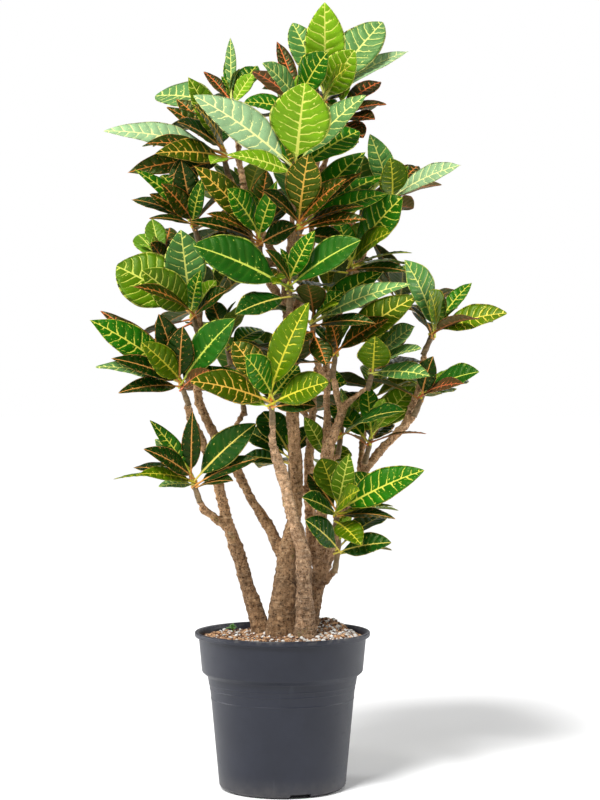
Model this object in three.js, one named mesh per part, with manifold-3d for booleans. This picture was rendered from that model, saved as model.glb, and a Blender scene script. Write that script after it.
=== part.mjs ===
// A potted croton: a grower's pot filled with soil, four branched trunks and a leafy shoot on each branch.
// Millimetres, +Z up, origin at the middle of the pot's base, and the front of the plant faces -Y.
import * as THREE from 'three';
import { mergeVertices } from 'three/addons/utils/BufferGeometryUtils.js';
import Module from 'manifold-3d';

const wasm = await Module();
wasm.setup();
const { Manifold } = wasm;

// Pot
const RIM_RADIUS = 135;
const MOUTH_RADIUS = 129;
const COLLAR_RADIUS = 124;
const NECK_RADIUS = 115.5;
const BODY_RADIUS = 112;
const FOOT_RADIUS = 97.5;
const POT_HEIGHT = 240;
const LIP_HEIGHT = 8;
const LIP_CHAMFER = 1.2;
const COLLAR_BOTTOM = 179;
const NECK_TOP = 172;
const BODY_TOP = 152;
const WALL = 2.2;
const POT_FACETS = 32;
// The foot outside is chamfered, and the floor inside is sunk in its middle
const FOOT_CHAMFER = [6, 5];
const FLOOR = 3.5;
const FLOOR_RADIUS = 66;
const FLOOR_EDGE = 9;
const FLOOR_EDGE_RADIUS = 72;
const DRAIN_COUNT = 3;
const DRAIN_WIDTH = 32;
const DRAIN_HEIGHT = 6.5;
const DRAIN_REACH = 20;
const DRAIN_HOLE = 4.5;
const DRAIN_HOLE_INSET = 12;
const DRAIN_HOLE_REACH = 15;
const DRAIN_HOLE_FACETS = 8;
const DRAIN_FIRST = -73;

// Soil
const SOIL_LEVEL = 229;
const SOIL_CLEARANCE = 0.5;
const SOIL_ROUGHNESS = 2.4;
const HOLE_CLEARANCE = 0.5;
const SOIL_RINGS = [125.2, 104, 74, 38];
const SOIL_SEED = 11;
// Mounds round the trunks: x, y, height and spread
const MOUNDS = [[28, 40, 9, 45], [70, 74, 18, 20], [-95, 20, 4, 16]];

// Weed sprout by the rim
const WEED_PLACE = [-80, 78, 214];
const WEED_HEIGHT = 24;
const WEED_STEM_RADIUS = 1;
const WEED_LEAF = 11;
const WEED_LEAVES = 4;
const WEED_LEAF_TURN = 0.3;
const WEED_LEAF_RISE = 0.35;
const WEED_LEAF_THICKNESS = 0.7;
// Share of a weed leaf's length, and its half width there
const WEED_STATIONS = [[0.05, 0.6], [0.6, 2.8]];

// Wood
const SEAT_GAP = 0.3;
const SEAT_STRAIGHT = 16;
const RING_SPACING = 60;
// Swell and narrowing of the rings of old leaf scars, as a share of the radius
const KNOB = 0.06;
// A branch whose foot is thicker than this has the trunk's number of sides
const THICK = 12;
const TRUNK_SIDES = 8;
const TWIG_SIDES = 5;
const HEIGHT_STEPS = 400;
const TWIG_SPACING = 75;
const TWIG_RADIUS = 4.4;
const TWIG_FOOT_RADIUS = 5.4;
const TWIG_FOOT_SHARE = 0.9;
const TWIG_HANDLE = 0.35;

// Shoots
const STEM_SIDES = 4;
const STEM_BELOW = 34;
const STEM_ABOVE = 9;
const STEM_TIP_RADIUS = 3.4;
// A shoot leans outwards by its distance from the plant's middle line
const OUTWARD_LEAN = 0.5;
const MIDDLE_X = 15;
const REACH_X = 240;
const REACH_Y = 200;

// Leaves
const LEAF_THICKNESS = 1.8;
const STALK_WIDTH = 4.4;
const STALK_DEPTH = 3.2;
const STALK_END = 0.16;
const ROOT_PAST_AXIS = 3.4;
const ARCH = 0.3;
const LEAF_HANDLE = 0.35;
const FOLD = 0.2;
const WAVE = 0.035;
// A blade's rings after its stalk: share of the leaf's length, and half width as a share of its width
const BLADE_STATIONS = [[0.46, 0.47], [0.78, 0.4]];
const BLADE_MIDDLE = 0.6;
// The steepest leaves grow highest on the stem, and those at the widest angle lowest
const ROOT_HEIGHTS = [5, -24];
const WIDEST_ANGLE = 115;

// Placing of the leaves. Those with no known tip follow a spiral, from short and steep at the top to
// long and spread at the bottom.
const LEAF_SEED = 2024;
const GOLDEN_ANGLE = 137.5;
const SPIRAL_LENGTHS = [78, 132];
const SPIRAL_ANGLES = [24, 98];
const LENGTH_SPREAD = [0.85, 1.15];
const SLENDERNESS_SPREAD = [0.36, 0.5];
// Turns, dips and depths that a leaf tries until it is clear of what is placed already
const SPIRAL_SCALES = [1, 0.86, 0.74];
const SPIRAL_TURNS = [0, 22, -22, 44, -44, 66, -66, 90, -90, 120, -120, 150, 180];
const SPIRAL_DIPS = [0, -14, 14];
const KNOWN_DEPTHS = [0, 14, -14, 28, -28, 42, -42, 60];
const KNOWN_TURNS = [0, -16, 16];
// Space round a leaf, and the share of it near its root that may come close to its own shoot, or to others
const LEAF_SPACE = 1.1;
const OWN_ROOT_SHARE = 0.95;
const OTHER_ROOT_SHARE = 0.45;
// The front view, from this far in front and through this x and z, keeps its outline and its known
// leaves: no other leaf reaches past them, hides them or fills a gap that shows the background.
// Reach: share of a leaf's length, and how far from a known leaf and from a shoot it may be there
const VIEW_DISTANCE = 2900;
const VIEW_X = 27;
const VIEW_Z = 596;
const REACHES = [[0.5, 26, 48], [0.75, 20, 34], [1, 13, 24]];
const HIDING_REACH = 18;
// Gaps: x, z and radius
const GAPS = [[-61, 948, 14], [18, 817, 12], [-76, 753, 10], [-25, 756, 10], [-32, 716, 12],
  [107, 655, 14], [107, 520, 15], [-93, 576, 18], [-123, 446, 12], [168, 842, 16], [186, 512, 16]];

const BARK = '#7d6a55';
const LEAF_COLOURS = ['#2f6b2a', '#3b7a2c', '#56652a', '#2a5a30', '#4d4a22'];

// Each branch: points x, y, z and the radius there
const BRANCHES = {
  left: {
    trunk: 'trunk_left',
    points: [[-30, 44, 180, 15], [-34, 44, 240, 13.5], [-44, 42, 272, 11.5], [-63, 38, 327, 10],
      [-71, 34, 363, 9.5], [-87, 28, 407, 9], [-97, 20, 456, 8.4], [-116, 8, 511, 7.5],
      [-136, -4, 557, 7], [-149, -16, 588, 6]],
  },
  left_low: {
    trunk: 'trunk_left',
    points: [[-86, 30, 397, 7], [-117, 12, 423, 6.5], [-133, 0, 435, 5.5]],
  },
  middle: {
    trunk: 'trunk_middle',
    points: [[-1, 14, 180, 24], [-1, 12, 237, 23], [4, 9, 305, 19.5], [8, 6, 355, 14.5],
      [9, 5, 383, 11], [19, 5, 414, 10.5], [22, 5, 472, 10], [18, 3, 534, 10],
      [15, 0, 571, 10], [12, 0, 658, 9], [8, 0, 741, 8], [4, 5, 803, 6.8],
      [22, 0, 848, 6.4], [42, 0, 920, 6], [56, -5, 982, 5]],
  },
  middle_left: {
    trunk: 'trunk_middle',
    points: [[6, 7, 342, 9.5], [-12, 12, 384, 9], [-41, 20, 424, 8.5], [-55, 24, 459, 8],
      [-76, 28, 493, 8], [-107, 32, 540, 7.5], [-129, 34, 585, 7], [-136, 34, 612, 7],
      [-130, 30, 705, 6.5], [-134, 20, 798, 6], [-137, 8, 828, 5.2]],
  },
  crown_left: {
    trunk: 'trunk_middle',
    points: [[6, 4, 785, 6], [-32, 10, 856, 5.5], [-62, 12, 925, 5]],
  },
  back: {
    trunk: 'trunk_middle',
    points: [[9, 0, 700, 7], [28, 58, 760, 6], [44, 92, 820, 5.5], [47, 112, 880, 5]],
  },
  back_left: {
    trunk: 'trunk_middle',
    points: [[9, 2, 735, 6.5], [-27, 45, 790, 5.8], [-52, 88, 850, 5]],
  },
  front: {
    trunk: 'trunk_front',
    points: [[34, -13, 180, 16.5], [35, -13, 238, 15.5], [33, -13, 270, 14.5], [34, -15, 298, 12.2],
      [37, -18, 326, 13], [34, -22, 352, 11.2], [26, -28, 382, 10.2], [20, -34, 405, 9.8],
      [10, -43, 441, 9], [3, -50, 474, 8.4], [-6, -60, 501, 7.8], [-19, -78, 550, 6.6]],
  },
  right_back: {
    trunk: 'trunk_right',
    points: [[56, 51, 330, 10.5], [46, 60, 376, 10], [45, 66, 407, 9.5], [40, 72, 469, 8.5],
      [45, 76, 548, 7.5], [48, 82, 600, 6]],
  },
  right_mid: {
    trunk: 'trunk_right',
    points: [[62, 49, 342, 9], [60, 42, 393, 9], [62, 24, 459, 9], [70, 12, 508, 8.5],
      [78, 4, 547, 8], [93, -2, 582, 7.4], [107, -6, 608, 6]],
  },
  right_inner: {
    trunk: 'trunk_right',
    points: [[62, 20, 475, 7.5], [69, 24, 534, 6.5], [69, 28, 596, 6.2], [66, 26, 643, 5.6],
      [74, 20, 705, 5], [90, 15, 755, 4.6]],
  },
  right_high: {
    trunk: 'trunk_right',
    points: [[72, 22, 690, 5], [102, 32, 768, 5], [136, 30, 842, 4.6]],
  },
  right_out: {
    trunk: 'trunk_right',
    points: [[38, 50, 180, 14.5], [41, 50, 259, 14], [54, 50, 313, 15], [62, 50, 331, 14.5],
      [67, 50, 350, 13], [81, 44, 377, 9], [104, 36, 440, 8], [122, 30, 487, 7.5], [133, 28, 507, 7],
      [155, 24, 519, 6.6], [182, 16, 549, 6.3], [201, 12, 571, 6], [208, 8, 600, 5.8],
      [216, 2, 640, 5.2]],
  },
};

// Each shoot: its place, the branch that carries it and how far along, its count of leaves, and
// the leaves known by their tips: x, y, z, the turn of the upper face from straight up towards
// the front in degrees, and the width
const SHOOTS = {
  crown_top: {
    at: [65, -10, 1060], on: ['middle'], count: 11,
    leaves: [[64, -79, 1193, 75, 62], [15, 12, 1180, 60, 51], [156, 16, 1182, 60, 68],
      [109, -85, 1120, 62, 55], [196, 17, 1137, 42, 36], [102, -84, 1089, 50, 41]],
  },
  crown_inner: {
    at: [25, -40, 1047], on: ['middle', 950], count: 8,
    leaves: [[68, -100, 1114, 60, 55], [-29, -105, 1097, 55, 46], [-9, 20, 1153, 50, 25],
      [-46, -20, 1099, 50, 46], [-57, -75, 1043, 50, 41]],
  },
  crown_front: {
    at: [21, -120, 939], on: ['middle', 770], count: 9,
    leaves: [[116, -90, 998, 50, 60], [34, -204, 1051, 78, 90], [-129, -152, 1041, 60, 64],
      [124, -143, 1043, 45, 55], [-79, -185, 950, 60, 36]],
  },
  crown_mid: {
    at: [26, -80, 863], on: ['middle', 800], count: 13,
    leaves: [[92, -96, 832, 45, 44], [39, -146, 956, 65, 55], [95, -145, 920, 55, 41],
      [126, -58, 971, 50, 48], [161, -55, 908, 50, 43], [126, -126, 862, 45, 32],
      [-30, -152, 903, 55, 36], [122, -95, 884, 45, 30], [120, -100, 935, 45, 30],
      [158, -20, 941, 50, 41]],
  },
  crown_right: {
    at: [90, 40, 1050], on: ['middle', 905], count: 8,
    leaves: [[157, 101, 1104, 50, 34], [159, -36, 1046, 45, 32], [141, -42, 1022, 50, 36],
      [124, -29, 996, 55, 39]],
  },
  crown_back_left: {
    at: [-80, 60, 1061], on: ['crown_left'], count: 10,
    leaves: [[-84, 99, 1174, 60, 18], [-89, 93, 1150, 55, 20], [-42, 104, 1130, 55, 39],
      [-46, 50, 1108, 50, 30], [-127, 100, 1120, 50, 20], [-86, 110, 1112, 60, 18],
      [-207, 133, 1086, 55, 62]],
  },
  upper_left: {
    at: [-93, -10, 983], on: ['crown_left', 880], count: 15,
    leaves: [[-172, -60, 932, 55, 44], [-142, -67, 1083, 60, 41], [-270, -61, 1002, 55, 46],
      [-205, -76, 981, 45, 39], [-236, -50, 942, 50, 41], [-188, -95, 962, 55, 43],
      [-157, -81, 1013, 50, 46], [-177, -30, 1043, 50, 34], [-131, -110, 1034, 60, 46],
      [-106, -95, 948, 60, 30], [-165, 10, 1062, 50, 36]],
  },
  left_high: {
    at: [-139, -20, 873], on: ['middle_left'], count: 12,
    leaves: [[-223, -60, 944, 50, 30], [-237, 39, 909, 45, 30], [-199, -90, 867, 50, 20],
      [-151, -85, 955, 65, 43], [-180, -93, 919, 55, 36], [-204, -30, 912, 50, 30],
      [-117, -70, 930, 60, 25], [-105, -88, 855, 50, 30]],
  },
  inner_high: {
    at: [-36, -50, 843], on: ['crown_left', 805], count: 10,
    leaves: [[22, -70, 856, 48, 40], [-130, -110, 943, 58, 48], [-81, -115, 909, 58, 48],
      [-54, -100, 913, 60, 30], [-7, -124, 920, 60, 30], [-139, -127, 859, 50, 32],
      [-114, -126, 832, 45, 32], [-23, -85, 945, 50, 36], [-111, -135, 870, 50, 30]],
  },
  right_top: {
    at: [169, 20, 910], on: ['right_high'], count: 9,
    leaves: [[134, -30, 1004, 60, 41], [164, -55, 964, 65, 51], [272, -56, 953, 50, 43],
      [253, 90, 938, -35, 30], [205, 40, 896, -30, 48], [214, 80, 967, 50, 39]],
  },
  right_upper: {
    at: [107, 0, 809], on: ['right_inner'], count: 10,
    leaves: [[162, -90, 846, 55, 56], [197, -63, 818, 15, 18], [189, -69, 789, 45, 30],
      [182, -66, 902, 55, 70], [81, -55, 875, 50, 36]],
  },
  centre: {
    at: [11, -80, 770], on: ['middle', 665], count: 11,
    leaves: [[-130, -133, 823, 62, 75], [117, -138, 831, 58, 55], [-68, -147, 721, 55, 46],
      [49, -125, 846, 60, 34], [-24, -149, 816, 55, 30], [-13, -165, 765, 60, 36]],
  },
  centre_low: {
    at: [48, -40, 721], on: ['right_inner', 625], count: 10,
    leaves: [[66, -84, 648, 40, 36], [140, -116, 709, 45, 34], [84, -121, 738, 50, 32],
      [191, -107, 768, 50, 41], [11, -116, 677, 60, 32], [93, -108, 759, 50, 32],
      [155, -50, 793, 50, 46]],
  },
  inner_low: {
    at: [82, -20, 670], on: ['right_mid', 575], count: 7,
    leaves: [[160, -70, 718, 50, 43], [207, -46, 755, 58, 57], [70, -82, 719, 58, 48]],
  },
  right_centre: {
    at: [141, -10, 650], on: ['right_mid'], count: 9,
    leaves: [[139, -95, 692, 62, 51], [210, -71, 673, 50, 43], [223, -81, 631, 50, 41],
      [207, -73, 620, 15, 16], [202, -40, 708, 52, 50]],
  },
  right_far: {
    at: [233, -10, 702], on: ['right_out'], count: 9,
    leaves: [[184, -70, 807, 58, 59], [221, -71, 760, 62, 55], [295, 30, 779, 40, 27],
      [340, -60, 727, 50, 50], [293, -77, 716, -30, 39], [194, -58, 735, 55, 34],
      [244, 20, 768, 50, 27]],
  },
  right_far_low: {
    at: [218, -10, 608], on: ['right_out', 565], count: 8,
    leaves: [[296, -81, 638, 50, 48], [270, -69, 620, 40, 32], [228, -66, 662, 55, 36]],
  },
  right_low: {
    at: [137, 10, 537], on: ['right_out', 495], count: 9,
    leaves: [[207, 36, 618, 50, 46], [131, 30, 618, 60, 32], [218, -64, 545, 15, 16],
      [91, -55, 546, 15, 16], [75, 86, 588, 45, 41]],
  },
  right_inner_low: {
    at: [92, 48, 545], on: ['right_inner', 490], count: 5,
    leaves: [[184, -60, 579, 60, 55], [207, 70, 590, 55, 53]],
  },
  right_back_low: {
    at: [70, 50, 505], on: ['right_back', 440], count: 5,
    leaves: [[33, 20, 570, 60, 30], [104, 70, 518, 50, 39]],
  },
  left_mid: {
    at: [-142, 10, 734], on: ['middle_left', 655], count: 12,
    leaves: [[-153, -63, 853, 68, 64], [-256, -5, 802, 62, 98],
      [-210, -90, 790, 60, 58], [-218, -105, 762, 45, 30], [-124, -60, 793, 60, 30],
      [-102, -30, 781, 60, 32], [-83, -44, 763, 50, 39]],
  },
  left_low: {
    at: [-156, -40, 626], on: ['left'], count: 14,
    leaves: [[-148, -95, 706, 60, 44], [-286, -103, 715, 60, 55], [-280, -13, 733, 45, 32],
      [-69, -122, 717, 60, 57], [-207, -125, 681, 55, 43], [-251, -120, 657, 45, 34],
      [-279, -90, 645, 38, 40], [-241, -129, 606, 50, 36], [-117, -80, 670, 55, 39],
      [-107, -110, 640, 50, 27], [-185, -85, 725, 55, 41], [-187, -100, 703, 55, 39]],
  },
  left_back: {
    at: [-191, 80, 810], on: ['middle_left', 715], count: 8,
    leaves: [[-235, 138, 863, 55, 41], [-211, 122, 887, 55, 34], [-184, 125, 876, 50, 39],
      [-205, 25, 841, 60, 36]],
  },
  front_low: {
    at: [-16, -110, 599], on: ['front'], count: 12,
    leaves: [[-53, -180, 660, 60, 51], [-132, -183, 623, 58, 55], [-126, -88, 647, 50, 34],
      [-72, -110, 683, 55, 48], [40, -180, 738, 50, 53], [69, -159, 622, 62, 53],
      [51, -155, 587, 55, 36], [-79, -60, 602, 50, 34], [25, -150, 647, 60, 41],
      [-17, -125, 662, 70, 32]],
  },
  left_lowest: {
    at: [-139, -20, 478], on: ['left_low'], count: 12,
    leaves: [[-199, -75, 566, 60, 27], [-135, -63, 579, 55, 30], [-40, -42, 560, 58, 53],
      [-206, -101, 523, 55, 39], [-213, -105, 486, 55, 30], [-263, 17, 473, 15, 18],
      [-34, -57, 508, 45, 34], [-73, -74, 474, 50, 32], [-187, -60, 465, 40, 25],
      [-234, 24, 490, 45, 34], [-200, 40, 535, 50, 32]],
  },
  inner_back: {
    at: [12, 60, 509], on: ['right_back', 445], count: 7,
    leaves: [[-61, 95, 548, 50, 41], [-33, 119, 577, 52, 52], [-68, 111, 503, 45, 36],
      [57, 122, 556, 50, 36]],
  },
  low_right: {
    at: [85, -28, 430], on: ['right_out', 335], count: 12,
    leaves: [[40, 10, 482, 55, 34], [213, -90, 491, 60, 55], [101, -80, 516, 65, 36],
      [116, -115, 462, 60, 43], [135, 20, 483, 50, 41], [167, -86, 437, 15, 16],
      [170, -91, 418, 45, 32], [30, -91, 450, 55, 39], [60, -20, 507, 60, 46],
      [118, -120, 381, 60, 41]],
  },
  lowest_right: {
    at: [86, -26, 372], on: ['right_out', 300], count: 5,
    leaves: [[164, -83, 382, 55, 41], [140, -80, 366, -30, 25], [35, -80, 416, 55, 46]],
  },
  left_inner: {
    at: [-88, 30, 686], on: ['middle_left', 610], count: 7,
    leaves: [[-77, -26, 706, 50, 36], [-33, 98, 708, 45, 41], [-116, 97, 755, 50, 36]],
  },
  back_high: { at: [28, 150, 1010], on: ['back'], count: 8, leaves: [] },
  back_high_left: { at: [-60, 150, 920], on: ['back_left'], count: 8, leaves: [] },
  back_high_right: { at: [112, 145, 888], on: ['back', 830], count: 8, leaves: [] },
  back_left_low: { at: [-118, 160, 760], on: ['middle_left', 680], count: 8, leaves: [] },
  back_middle: { at: [72, 170, 760], on: ['right_back'], count: 8, leaves: [] },
  back_right: { at: [189, 120, 757], on: ['right_high', 715], count: 8, leaves: [] },
  back_low: {
    at: [12, 145, 640], on: ['right_back', 560], count: 9,
    leaves: [[102, 90, 622, 52, 48]],
  },
  back_low_left: { at: [-68, 120, 610], on: ['middle_left', 520], count: 8, leaves: [] },
  back_low_right: { at: [140, 115, 600], on: ['right_out', 480], count: 8, leaves: [] },
};

// Seeded random numbers from 0 to 1
function randomFrom(seed) {
  let state = seed >>> 0;
  return () => {
    state = (state * 1664525 + 1013904223) >>> 0;
    return state / 4294967296;
  };
}

const vector = ([x, y, z]) => new THREE.Vector3(x, y, z);
const along = (start, direction, length) => start.clone().addScaledVector(direction, length);
const degrees = (angle) => angle * Math.PI / 180;
const mix = (a, b, share) => a + (b - a) * share;

// A closed mesh through rings of as many points each; a ring of one point ends it in a tip
function loft(rings) {
  const positions = [];
  const starts = [];
  for (const ring of rings) {
    starts.push(positions.length / 3);
    ring.forEach((point) => positions.push(point.x, point.y, point.z));
  }
  const faces = [];
  const sides = rings[0].length;
  for (let i = 0; i < rings.length - 1; i += 1) {
    for (let k = 0; k < sides; k += 1) {
      const next = (k + 1) % sides;
      const [a, b] = [starts[i] + k, starts[i] + next];
      if (rings[i + 1].length === 1) {
        faces.push(a, b, starts[i + 1]);
      } else {
        const [c, d] = [starts[i + 1] + k, starts[i + 1] + next];
        // The same split on both sides of the midrib and on both faces of a blade
        if (k % 2 === 0) faces.push(a, b, d, a, d, c);
        else faces.push(a, b, c, b, d, c);
      }
    }
  }
  const cap = (start, turned) => {
    for (let k = 1; k < sides - 1; k += 1) {
      if (turned) faces.push(start, start + k + 1, start + k);
      else faces.push(start, start + k, start + k + 1);
    }
  };
  cap(starts[0], true);
  if (rings[rings.length - 1].length > 1) cap(starts[rings.length - 1], false);
  const geometry = new THREE.BufferGeometry();
  geometry.setAttribute('position', new THREE.Float32BufferAttribute(positions, 3));
  geometry.setIndex(faces);
  return geometry;
}

function toSolid(geometry) {
  const bare = new THREE.BufferGeometry();
  bare.setAttribute('position', geometry.getAttribute('position'));
  if (geometry.index) bare.setIndex(geometry.index);
  const merged = mergeVertices(bare, 1e-4);
  return new Manifold(new wasm.Mesh({
    numProp: 3,
    vertProperties: new Float32Array(merged.getAttribute('position').array),
    triVerts: new Uint32Array(merged.index.array),
  }));
}

function toGeometry(solid) {
  const mesh = solid.getMesh();
  const geometry = new THREE.BufferGeometry();
  geometry.setAttribute('position', new THREE.BufferAttribute(mesh.vertProperties, 3));
  geometry.setIndex(new THREE.BufferAttribute(mesh.triVerts, 1));
  return geometry;
}

const joined = (solids) => solids.reduce((sum, solid) => sum.add(solid));

// A tube of changing radius along a curve, its ring planes square to the curve
function tube(curve, radiusAt, sides, steps) {
  const rings = [];
  let across = new THREE.Vector3(1, 0, 0);
  for (let i = 0; i <= steps; i += 1) {
    const share = i / steps;
    const tangent = curve.getTangentAt(share);
    const centre = curve.getPointAt(share);
    across = along(across, tangent, -across.dot(tangent)).normalize();
    const other = tangent.clone().cross(across);
    const radius = radiusAt(share, i);
    const ring = [];
    for (let k = 0; k < sides; k += 1) {
      const angle = 2 * Math.PI * k / sides;
      const point = along(centre, across, radius * Math.cos(angle));
      ring.push(along(point, other, radius * Math.sin(angle)));
    }
    rings.push(ring);
  }
  return loft(rings);
}

function shootAxis(place) {
  const lean = new THREE.Vector3(
    OUTWARD_LEAN * (place.x - MIDDLE_X) / REACH_X,
    OUTWARD_LEAN * place.y / REACH_Y,
    1,
  );
  return lean.normalize();
}

const random = randomFrom(LEAF_SEED);
const shoots = Object.entries(SHOOTS).map(([name, shoot]) => {
  const place = vector(shoot.at);
  const axis = shootAxis(place);
  const [branch, height] = shoot.on;
  const seat = along(place, axis, -STEM_BELOW - SEAT_GAP);
  return { ...shoot, name, place, axis, seat, branch, height, start: 360 * random(), solids: [] };
});

// A branch ends square to the shoot that it carries at its end
const curves = {};
const radii = {};
for (const [name, { points }] of Object.entries(BRANCHES)) {
  const { seat, axis } = shoots.find((shoot) => shoot.branch === name && !shoot.height);
  const route = [...points.map(vector), along(seat, axis, -SEAT_STRAIGHT), seat];
  curves[name] = new THREE.CatmullRomCurve3(route, false, 'centripetal');
  radii[name] = [...points.map((point) => point[3]), TWIG_RADIUS, TWIG_RADIUS];
}

function branchRadius(name, share) {
  const list = radii[name];
  const place = curves[name].getUtoTmapping(share) * (list.length - 1);
  const index = Math.min(Math.floor(place), list.length - 2);
  return mix(list[index], list[index + 1], place - index);
}

// The branch swells and narrows a little from one old leaf scar ring to the next. A clearance makes
// it wider and starts it lower, for the hole that it stands in.
function branchTube(name, clearance = 0) {
  const curve = curves[name].clone();
  curve.points[0].z -= clearance;
  const steps = Math.round(curve.getLength() / RING_SPACING);
  const sides = radii[name][0] > THICK ? TRUNK_SIDES : TWIG_SIDES;
  return tube(curve, (share, i) => {
    const knob = i % 2 ? 1 + KNOB : 1 - KNOB;
    const swell = i === 0 || i === steps ? 1 : knob;
    return branchRadius(name, share) * swell + clearance;
  }, sides, steps);
}

// How far along a branch it first reaches a height
function shareAtHeight(curve, height) {
  for (let i = 0; i < HEIGHT_STEPS; i += 1) {
    if (curve.getPointAt(i / HEIGHT_STEPS).z >= height) return i / HEIGHT_STEPS;
  }
  return 1;
}

// A twig leaves its branch a little steeper than its straight way and ends square to its shoot
function twigTube({ branch, height, seat, axis }) {
  const share = shareAtHeight(curves[branch], height);
  const start = curves[branch].getPointAt(share);
  const span = start.distanceTo(seat);
  const away = seat.clone().sub(start).normalize().add(curves[branch].getTangentAt(share)).normalize();
  const curve = new THREE.CubicBezierCurve3(
    start, along(start, away, TWIG_HANDLE * span), along(seat, axis, -TWIG_HANDLE * span), seat,
  );
  const startRadius = Math.min(TWIG_FOOT_SHARE * branchRadius(branch, share), TWIG_FOOT_RADIUS);
  const steps = Math.max(2, Math.round(curve.getLength() / TWIG_SPACING));
  return tube(curve, (t) => mix(startRadius, TWIG_RADIUS, t), TWIG_SIDES, steps);
}

function leafCurve(leaf) {
  const chord = leaf.tip.clone().sub(leaf.root);
  const length = chord.length();
  const ahead = chord.clone().normalize();
  const up = along(leaf.up, ahead, -leaf.up.dot(ahead)).normalize();
  const rise = along(ahead, up, ARCH);
  const dip = along(ahead, up, -ARCH);
  const reach = LEAF_HANDLE * length;
  const curve = new THREE.CubicBezierCurve3(
    leaf.root, along(leaf.root, rise, reach), along(leaf.tip, dip, -reach), leaf.tip,
  );
  return { up, curve };
}

// Points of a leaf at a share of its length: left edge, upper side, right edge and lower side
function leafRing(leaf, share, half, lift, wave, top, bottom) {
  const { up, curve } = leafCurve(leaf);
  const tangent = curve.getTangent(share);
  const normal = along(up, tangent, -up.dot(tangent)).normalize();
  const side = normal.clone().cross(tangent);
  const centre = curve.getPoint(share);
  return [
    along(along(centre, side, half), normal, lift + wave),
    along(centre, normal, top),
    along(along(centre, side, -half), normal, lift - wave),
    along(centre, normal, -bottom),
  ];
}

// A leaf's points are its root, the left, right and lower points of the stalk's end, two rings of the
// blade and the tip. Both faces of the blade are split into triangles alike.
const LEAF_FACES = [
  [0, 2, 1], [0, 3, 2], [0, 1, 3],
  [1, 2, 5], [1, 5, 4], [2, 6, 5], [2, 3, 7], [2, 7, 6], [3, 1, 7], [1, 4, 7],
  [4, 5, 9], [4, 9, 8], [5, 6, 9], [6, 10, 9], [6, 7, 11], [6, 11, 10], [7, 4, 11], [4, 8, 11],
  [8, 9, 12], [9, 10, 12], [10, 11, 12], [11, 8, 12],
];

// The blade is folded up along its midrib and waved at its edges. Extra space makes it larger on
// all sides, and the stalk is left out up to the given share.
function leafSolid(leaf, space = 0, stalkShare = 0) {
  const { curve } = leafCurve(leaf);
  const [left, , right, lower] = leafRing(
    leaf, STALK_END, STALK_WIDTH / 2 + space, STALK_DEPTH / 2 + space, 0, 0, STALK_DEPTH / 2 + space,
  );
  const root = leaf.root.clone().lerp(curve.getPoint(STALK_END), stalkShare);
  const blade = BLADE_STATIONS.map(([share, halfShare], i) => {
    const half = leaf.width * halfShare + space;
    const wave = leaf.wave * leaf.width * (i % 2 ? -1 : 1);
    const thick = LEAF_THICKNESS / 2 + space;
    return leafRing(leaf, share, half, half * FOLD, wave, thick, thick);
  });
  const end = along(leaf.tip, curve.getTangent(1), space);
  const points = [root, left, right, lower, ...blade.flat(), end];
  const geometry = new THREE.BufferGeometry().setFromPoints(points);
  geometry.setIndex(LEAF_FACES.flat());
  return toSolid(geometry);
}

const boxOf = (solid) => {
  const { min, max } = solid.boundingBox();
  return new THREE.Box3(vector(min), vector(max));
};

function touches(space, box, other) {
  if (!box.intersectsBox(other.box)) return false;
  const shared = space.intersect(other.solid);
  const meets = !shared.isEmpty();
  shared.delete();
  return meets;
}

// The first attempt that is clear of everything placed before it
function firstClear(attempts, shootName, placed) {
  for (const leaf of attempts) {
    const whole = leafSolid(leaf, LEAF_SPACE, OTHER_ROOT_SHARE);
    const blade = leafSolid(leaf, LEAF_SPACE, OWN_ROOT_SHARE);
    const wholeBox = boxOf(whole);
    const bladeBox = boxOf(blade);
    const blocked = placed.some((other) => (other.shoot === shootName
      ? !other.stem && touches(blade, bladeBox, other)
      : touches(whole, wholeBox, other)));
    whole.delete();
    blade.delete();
    if (!blocked) return leaf;
  }
  return null;
}

// A leaf grows from the stem higher up the steeper it stands, and its root reaches through the stem
function rootOf(shoot, direction) {
  const angle = Math.acos(THREE.MathUtils.clamp(direction.dot(shoot.axis), -1, 1));
  const height = mix(...ROOT_HEIGHTS, Math.min(angle / degrees(WIDEST_ANGLE), 1));
  const outwards = along(direction, shoot.axis, -direction.dot(shoot.axis)).normalize();
  return along(along(shoot.place, shoot.axis, height), outwards, -ROOT_PAST_AXIS * Math.sin(angle));
}

// A known leaf keeps its tip as the front view shows it, and tries other depths and turns
function* knownAttempts(shoot, [x, y, z, turn, width], random) {
  const wave = WAVE * (random() < 0.5 ? -1 : 1);
  for (const shift of KNOWN_DEPTHS) {
    for (const tilt of KNOWN_TURNS) {
      const tip = new THREE.Vector3(x, y + shift, z);
      const root = rootOf(shoot, tip.clone().sub(shoot.place).normalize());
      const angle = degrees(turn + tilt);
      const up = new THREE.Vector3(0, -Math.sin(angle), Math.cos(angle));
      yield { root, tip, up, wave, width };
    }
  }
}

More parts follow.
